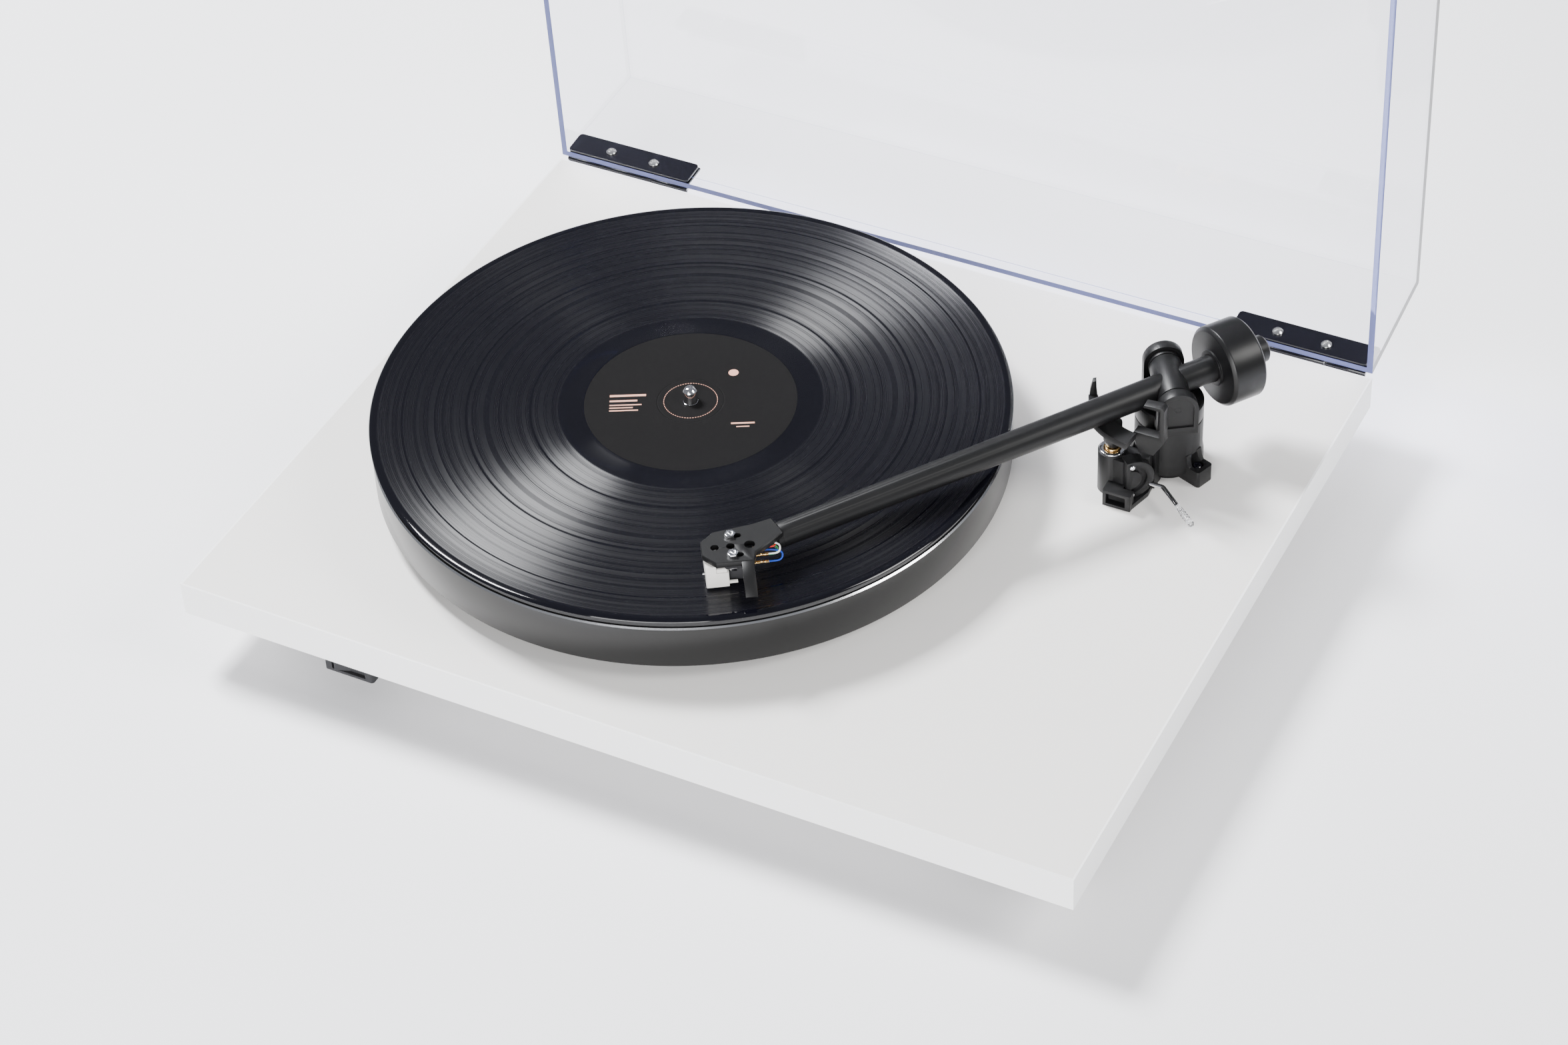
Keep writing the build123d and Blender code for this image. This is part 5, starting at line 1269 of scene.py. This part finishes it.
@dataclass
class Arm(Assembly):
    """The arm tube, its bearing crosspiece, rear stub and counterweight."""

    copies: tuple[Copy, ...] = (
        Copy("bearing_crosspiece", Finish.ARM_SATIN, 0.25),
        Copy("arm_tube", Finish.ARM_SATIN, 0.15),
        Copy("arm_stub", Finish.ARM_SATIN, 0.15),
    )
    weight_bore: float = 6.6
    weight_radius: float = 19.5
    weight_start: float = 23.0
    weight_length: float = 18.0

    def details(self) -> None:
        """Turns the counterweight."""
        start, end = self.weight_start, self.weight_start + self.weight_length
        bore, radius = self.weight_bore, self.weight_radius
        corners = [
            (bore, start - 1.0),
            (bore + 2.2, start - 1.0),
            (bore + 2.2, start),
            (radius - 1.6, start),
            (radius, start + 1.6),
            (radius, end - 1.2),
            (radius - 1.2, end),
            (bore, end),
        ]
        mesh = Lathe(REAR, 192).turn(rounded(corners, 0.35, 3)).mesh(24.0)
        stand_in("counterweight_piece", "counterweight", mesh, Finish.WEIGHT_SATIN)


@dataclass(frozen=True)
class Lead:
    """One cartridge lead: its finish and the corners of its loop on the headshell's axes."""

    node: str
    finish: Finish
    clip_y: float
    clip_z: float
    loop_x: float
    anchor_y: float
    anchor_z: float


@dataclass
class Headshell(Assembly):
    """The headshell with its cartridge, stylus, screws, clips and leads."""

    copies: tuple[Copy, ...] = (
        Copy("headshell", Finish.ARM_SATIN, 0.25),
        Copy("cartridge_body", Finish.CASE_PLASTIC, 0.2),
        Copy("stylus_unit", Finish.STYLUS_WHITE, 0.25),
        Copy("cantilever", Finish.STEEL, 0.0),
        Copy("cartridge_screws", Finish.CHROME, 0.1),
        Copy("lead_clips", Finish.GOLD, 0.05),
    )
    leads: tuple[Lead, ...] = (
        Lead("lead_red", Finish.WIRE_RED, -2.3, -5.0, -19.5, -5.8, -4.8),
        Lead("lead_green", Finish.WIRE_GREEN, -2.3, -9.5, -20.4, -5.8, -6.5),
        Lead("lead_white", Finish.WIRE_WHITE, 2.3, -5.0, -21.4, -3.7, -3.35),
        Lead("lead_blue", Finish.WIRE_BLUE, 2.3, -9.5, -22.3, -2.6, -6.8),
    )
    clip_end: float = -16.0
    clip_overlap: float = 0.6
    anchor_x: float = -12.5
    wire_radius: float = 0.4

    def details(self) -> None:
        """Runs the four leads from the clips to the shell."""
        for lead in self.leads:
            corners = [
                (self.clip_end + self.clip_overlap, lead.clip_y, lead.clip_z),
                (self.clip_end, lead.clip_y, lead.clip_z),
                (lead.loop_x, lead.clip_y, lead.clip_z),
                (lead.loop_x, lead.anchor_y, lead.anchor_z),
                (self.anchor_x, lead.anchor_y, lead.anchor_z),
            ]
            curve = bpy.data.curves.new(lead.node, "CURVE")
            curve.dimensions = "3D"
            curve.resolution_u = 12
            spline = curve.splines.new("NURBS")
            spline.points.add(len(corners) - 1)
            for point, corner in zip(spline.points, corners):
                point.co = (*SHELL.at(*corner), 1.0)
            spline.order_u = 3
            spline.use_endpoint_u = True
            mesh = TUBE.run(curve, lead.finish, Radius=self.wire_radius * MM)
            stand_in(f"{lead.node}_wire", lead.node, mesh, lead.finish)


# ---------------------------------------------------------------- lid


@dataclass
class Lid(Assembly):
    """The clear lid with its hinges."""

    copies: tuple[Copy, ...] = (
        Copy("hinge_brackets", Finish.HINGE_BLACK, 0.3),
        Copy("hinge_leaves", Finish.HINGE_BLACK, 0.25),
        Copy("hinge_plates", Finish.HINGE_BLACK, 0.3),
        Copy("hinge_pins", Finish.STEEL, 0.1),
    )
    screws: tuple[ScrewSet, ...] = (
        ScrewSet("hinge_bracket_screws", Finish.SCREW_BRIGHT),
        ScrewSet("hinge_plate_screws", Finish.SCREW_BRIGHT),
    )
    corner_break: float = 0.5
    edge_width: float = 3.4

    def details(self) -> None:
        """Moulds the lid and tints the faces that show the sheet's thickness."""
        mesh = refined_mesh("dust_cover", self.corner_break, 25.0, 1)
        for polygon in mesh.polygons:
            around = sum(
                (mesh.vertices[a].co - mesh.vertices[b].co).length
                for a, b in zip(polygon.vertices, [*polygon.vertices[1:], polygon.vertices[0]])
            )
            if polygon.area / (around / 2) < self.edge_width * MM:
                polygon.material_index = 1
        stand_in("clear_lid_shell", "dust_cover", mesh, Finish.LID_CLEAR, Finish.LID_RIM)


# ---------------------------------------------------------------- studio


@dataclass(frozen=True)
class Softbox:
    """A square soft lamp over the player, given by its direction from the spindle."""

    name: str
    azimuth: float
    elevation: float
    distance: float
    size: float
    power: float
    colour: Colour = (1.0, 1.0, 1.0)

    def build(self) -> None:
        """Hangs the lamp and turns it to the spindle."""
        flat = math.cos(math.radians(self.elevation))
        way = Vector(
            (
                flat * math.cos(math.radians(self.azimuth)),
                flat * math.sin(math.radians(self.azimuth)),
                math.sin(math.radians(self.elevation)),
            )
        )
        lamp = bpy.data.lights.new(self.name, "AREA")
        lamp.shape = "SQUARE"
        lamp.size = self.size
        lamp.energy = self.power
        lamp.color = self.colour
        holder = new_object(self.name, lamp)
        holder.location = SPINDLE + way * self.distance
        holder.rotation_euler = way.to_track_quat("Z", "Y").to_euler()


@dataclass
class Studio:
    """The pale floor, the soft lamps and the camera."""

    camera_place: Vector = field(default_factory=lambda: Vector((0.64162, -1.20996, 1.21043)))
    right: Vector = field(default_factory=lambda: Vector((0.89263, 0.44891, -0.04102)))
    up: Vector = field(default_factory=lambda: Vector((-0.27158, 0.60817, 0.74591)))
    lens: float = 86.585
    floor_half: float = 12.0
    floor_tone: Colour = (0.93, 0.93, 0.95)
    sky_tone: Colour = (0.90, 0.93, 1.0)
    sky_strength: float = 0.26
    lamps: tuple[Softbox, ...] = (
        Softbox("key_lamp", 164.0, 54.0, 2.4, 0.62, 165.0, (0.97, 0.98, 1.0)),
        Softbox("right_lamp", 8.0, 38.0, 2.6, 1.0, 48.0, (1.0, 0.99, 0.97)),
        Softbox("front_lamp", -78.0, 20.0, 3.0, 1.8, 150.0),
    )

    def build(self) -> None:
        """Sets up the floor, the light and the camera."""
        self.place_camera()
        self.lay_floor()
        for lamp in self.lamps:
            lamp.build()
        world = bpy.data.worlds.new("studio")
        world.use_nodes = True
        sky = world.node_tree.nodes["Background"]
        sky.inputs["Color"].default_value = rgba(self.sky_tone)
        sky.inputs["Strength"].default_value = self.sky_strength
        bpy.context.scene.world = world

    def place_camera(self) -> None:
        """Stands the camera in its place."""
        data = bpy.data.cameras.new("studio_camera")
        data.lens = self.lens
        data.sensor_width = 36.0
        data.sensor_fit = "HORIZONTAL"
        data.clip_end = 60.0
        camera = new_object("studio_camera", data)
        back = self.right.cross(self.up)
        turn = Matrix((self.right, self.up, back)).transposed().to_4x4()
        camera.matrix_world = Matrix.Translation(self.camera_place) @ turn
        bpy.context.scene.camera = camera

    def lay_floor(self) -> None:
        """Lays the plain floor."""
        half = self.floor_half
        mesh = bpy.data.meshes.new("floor")
        corners = [(-half, -half, 0), (half, -half, 0), (half, half, 0), (-half, half, 0)]
        mesh.from_pydata(corners, [], [(0, 1, 2, 3)])
        paint = FinishMaterial("floor_paint", Roughness=0.7)
        paint.shader.inputs["Base Color"].default_value = rgba(self.floor_tone)
        mesh.materials.append(paint.material)
        new_object("floor", mesh)


def main() -> None:
    """Builds every group of the player in order."""
    logging.basicConfig(level=logging.INFO, format="%(name)s: %(message)s")
    Studio().build()
    groups: Iterable[Assembly] = (
        Headshell(),
        Plinth(),
        Electrics(),
        Drive(),
        Platter(),
        Record(),
        ArmBase(),
        Lift(),
        Arm(),
        Lid(),
    )
    for group in groups:
        LOG.info("building %s", type(group).__name__)
        group.build()
    bpy.context.view_layer.update()


if __name__ == "__main__":
    main()
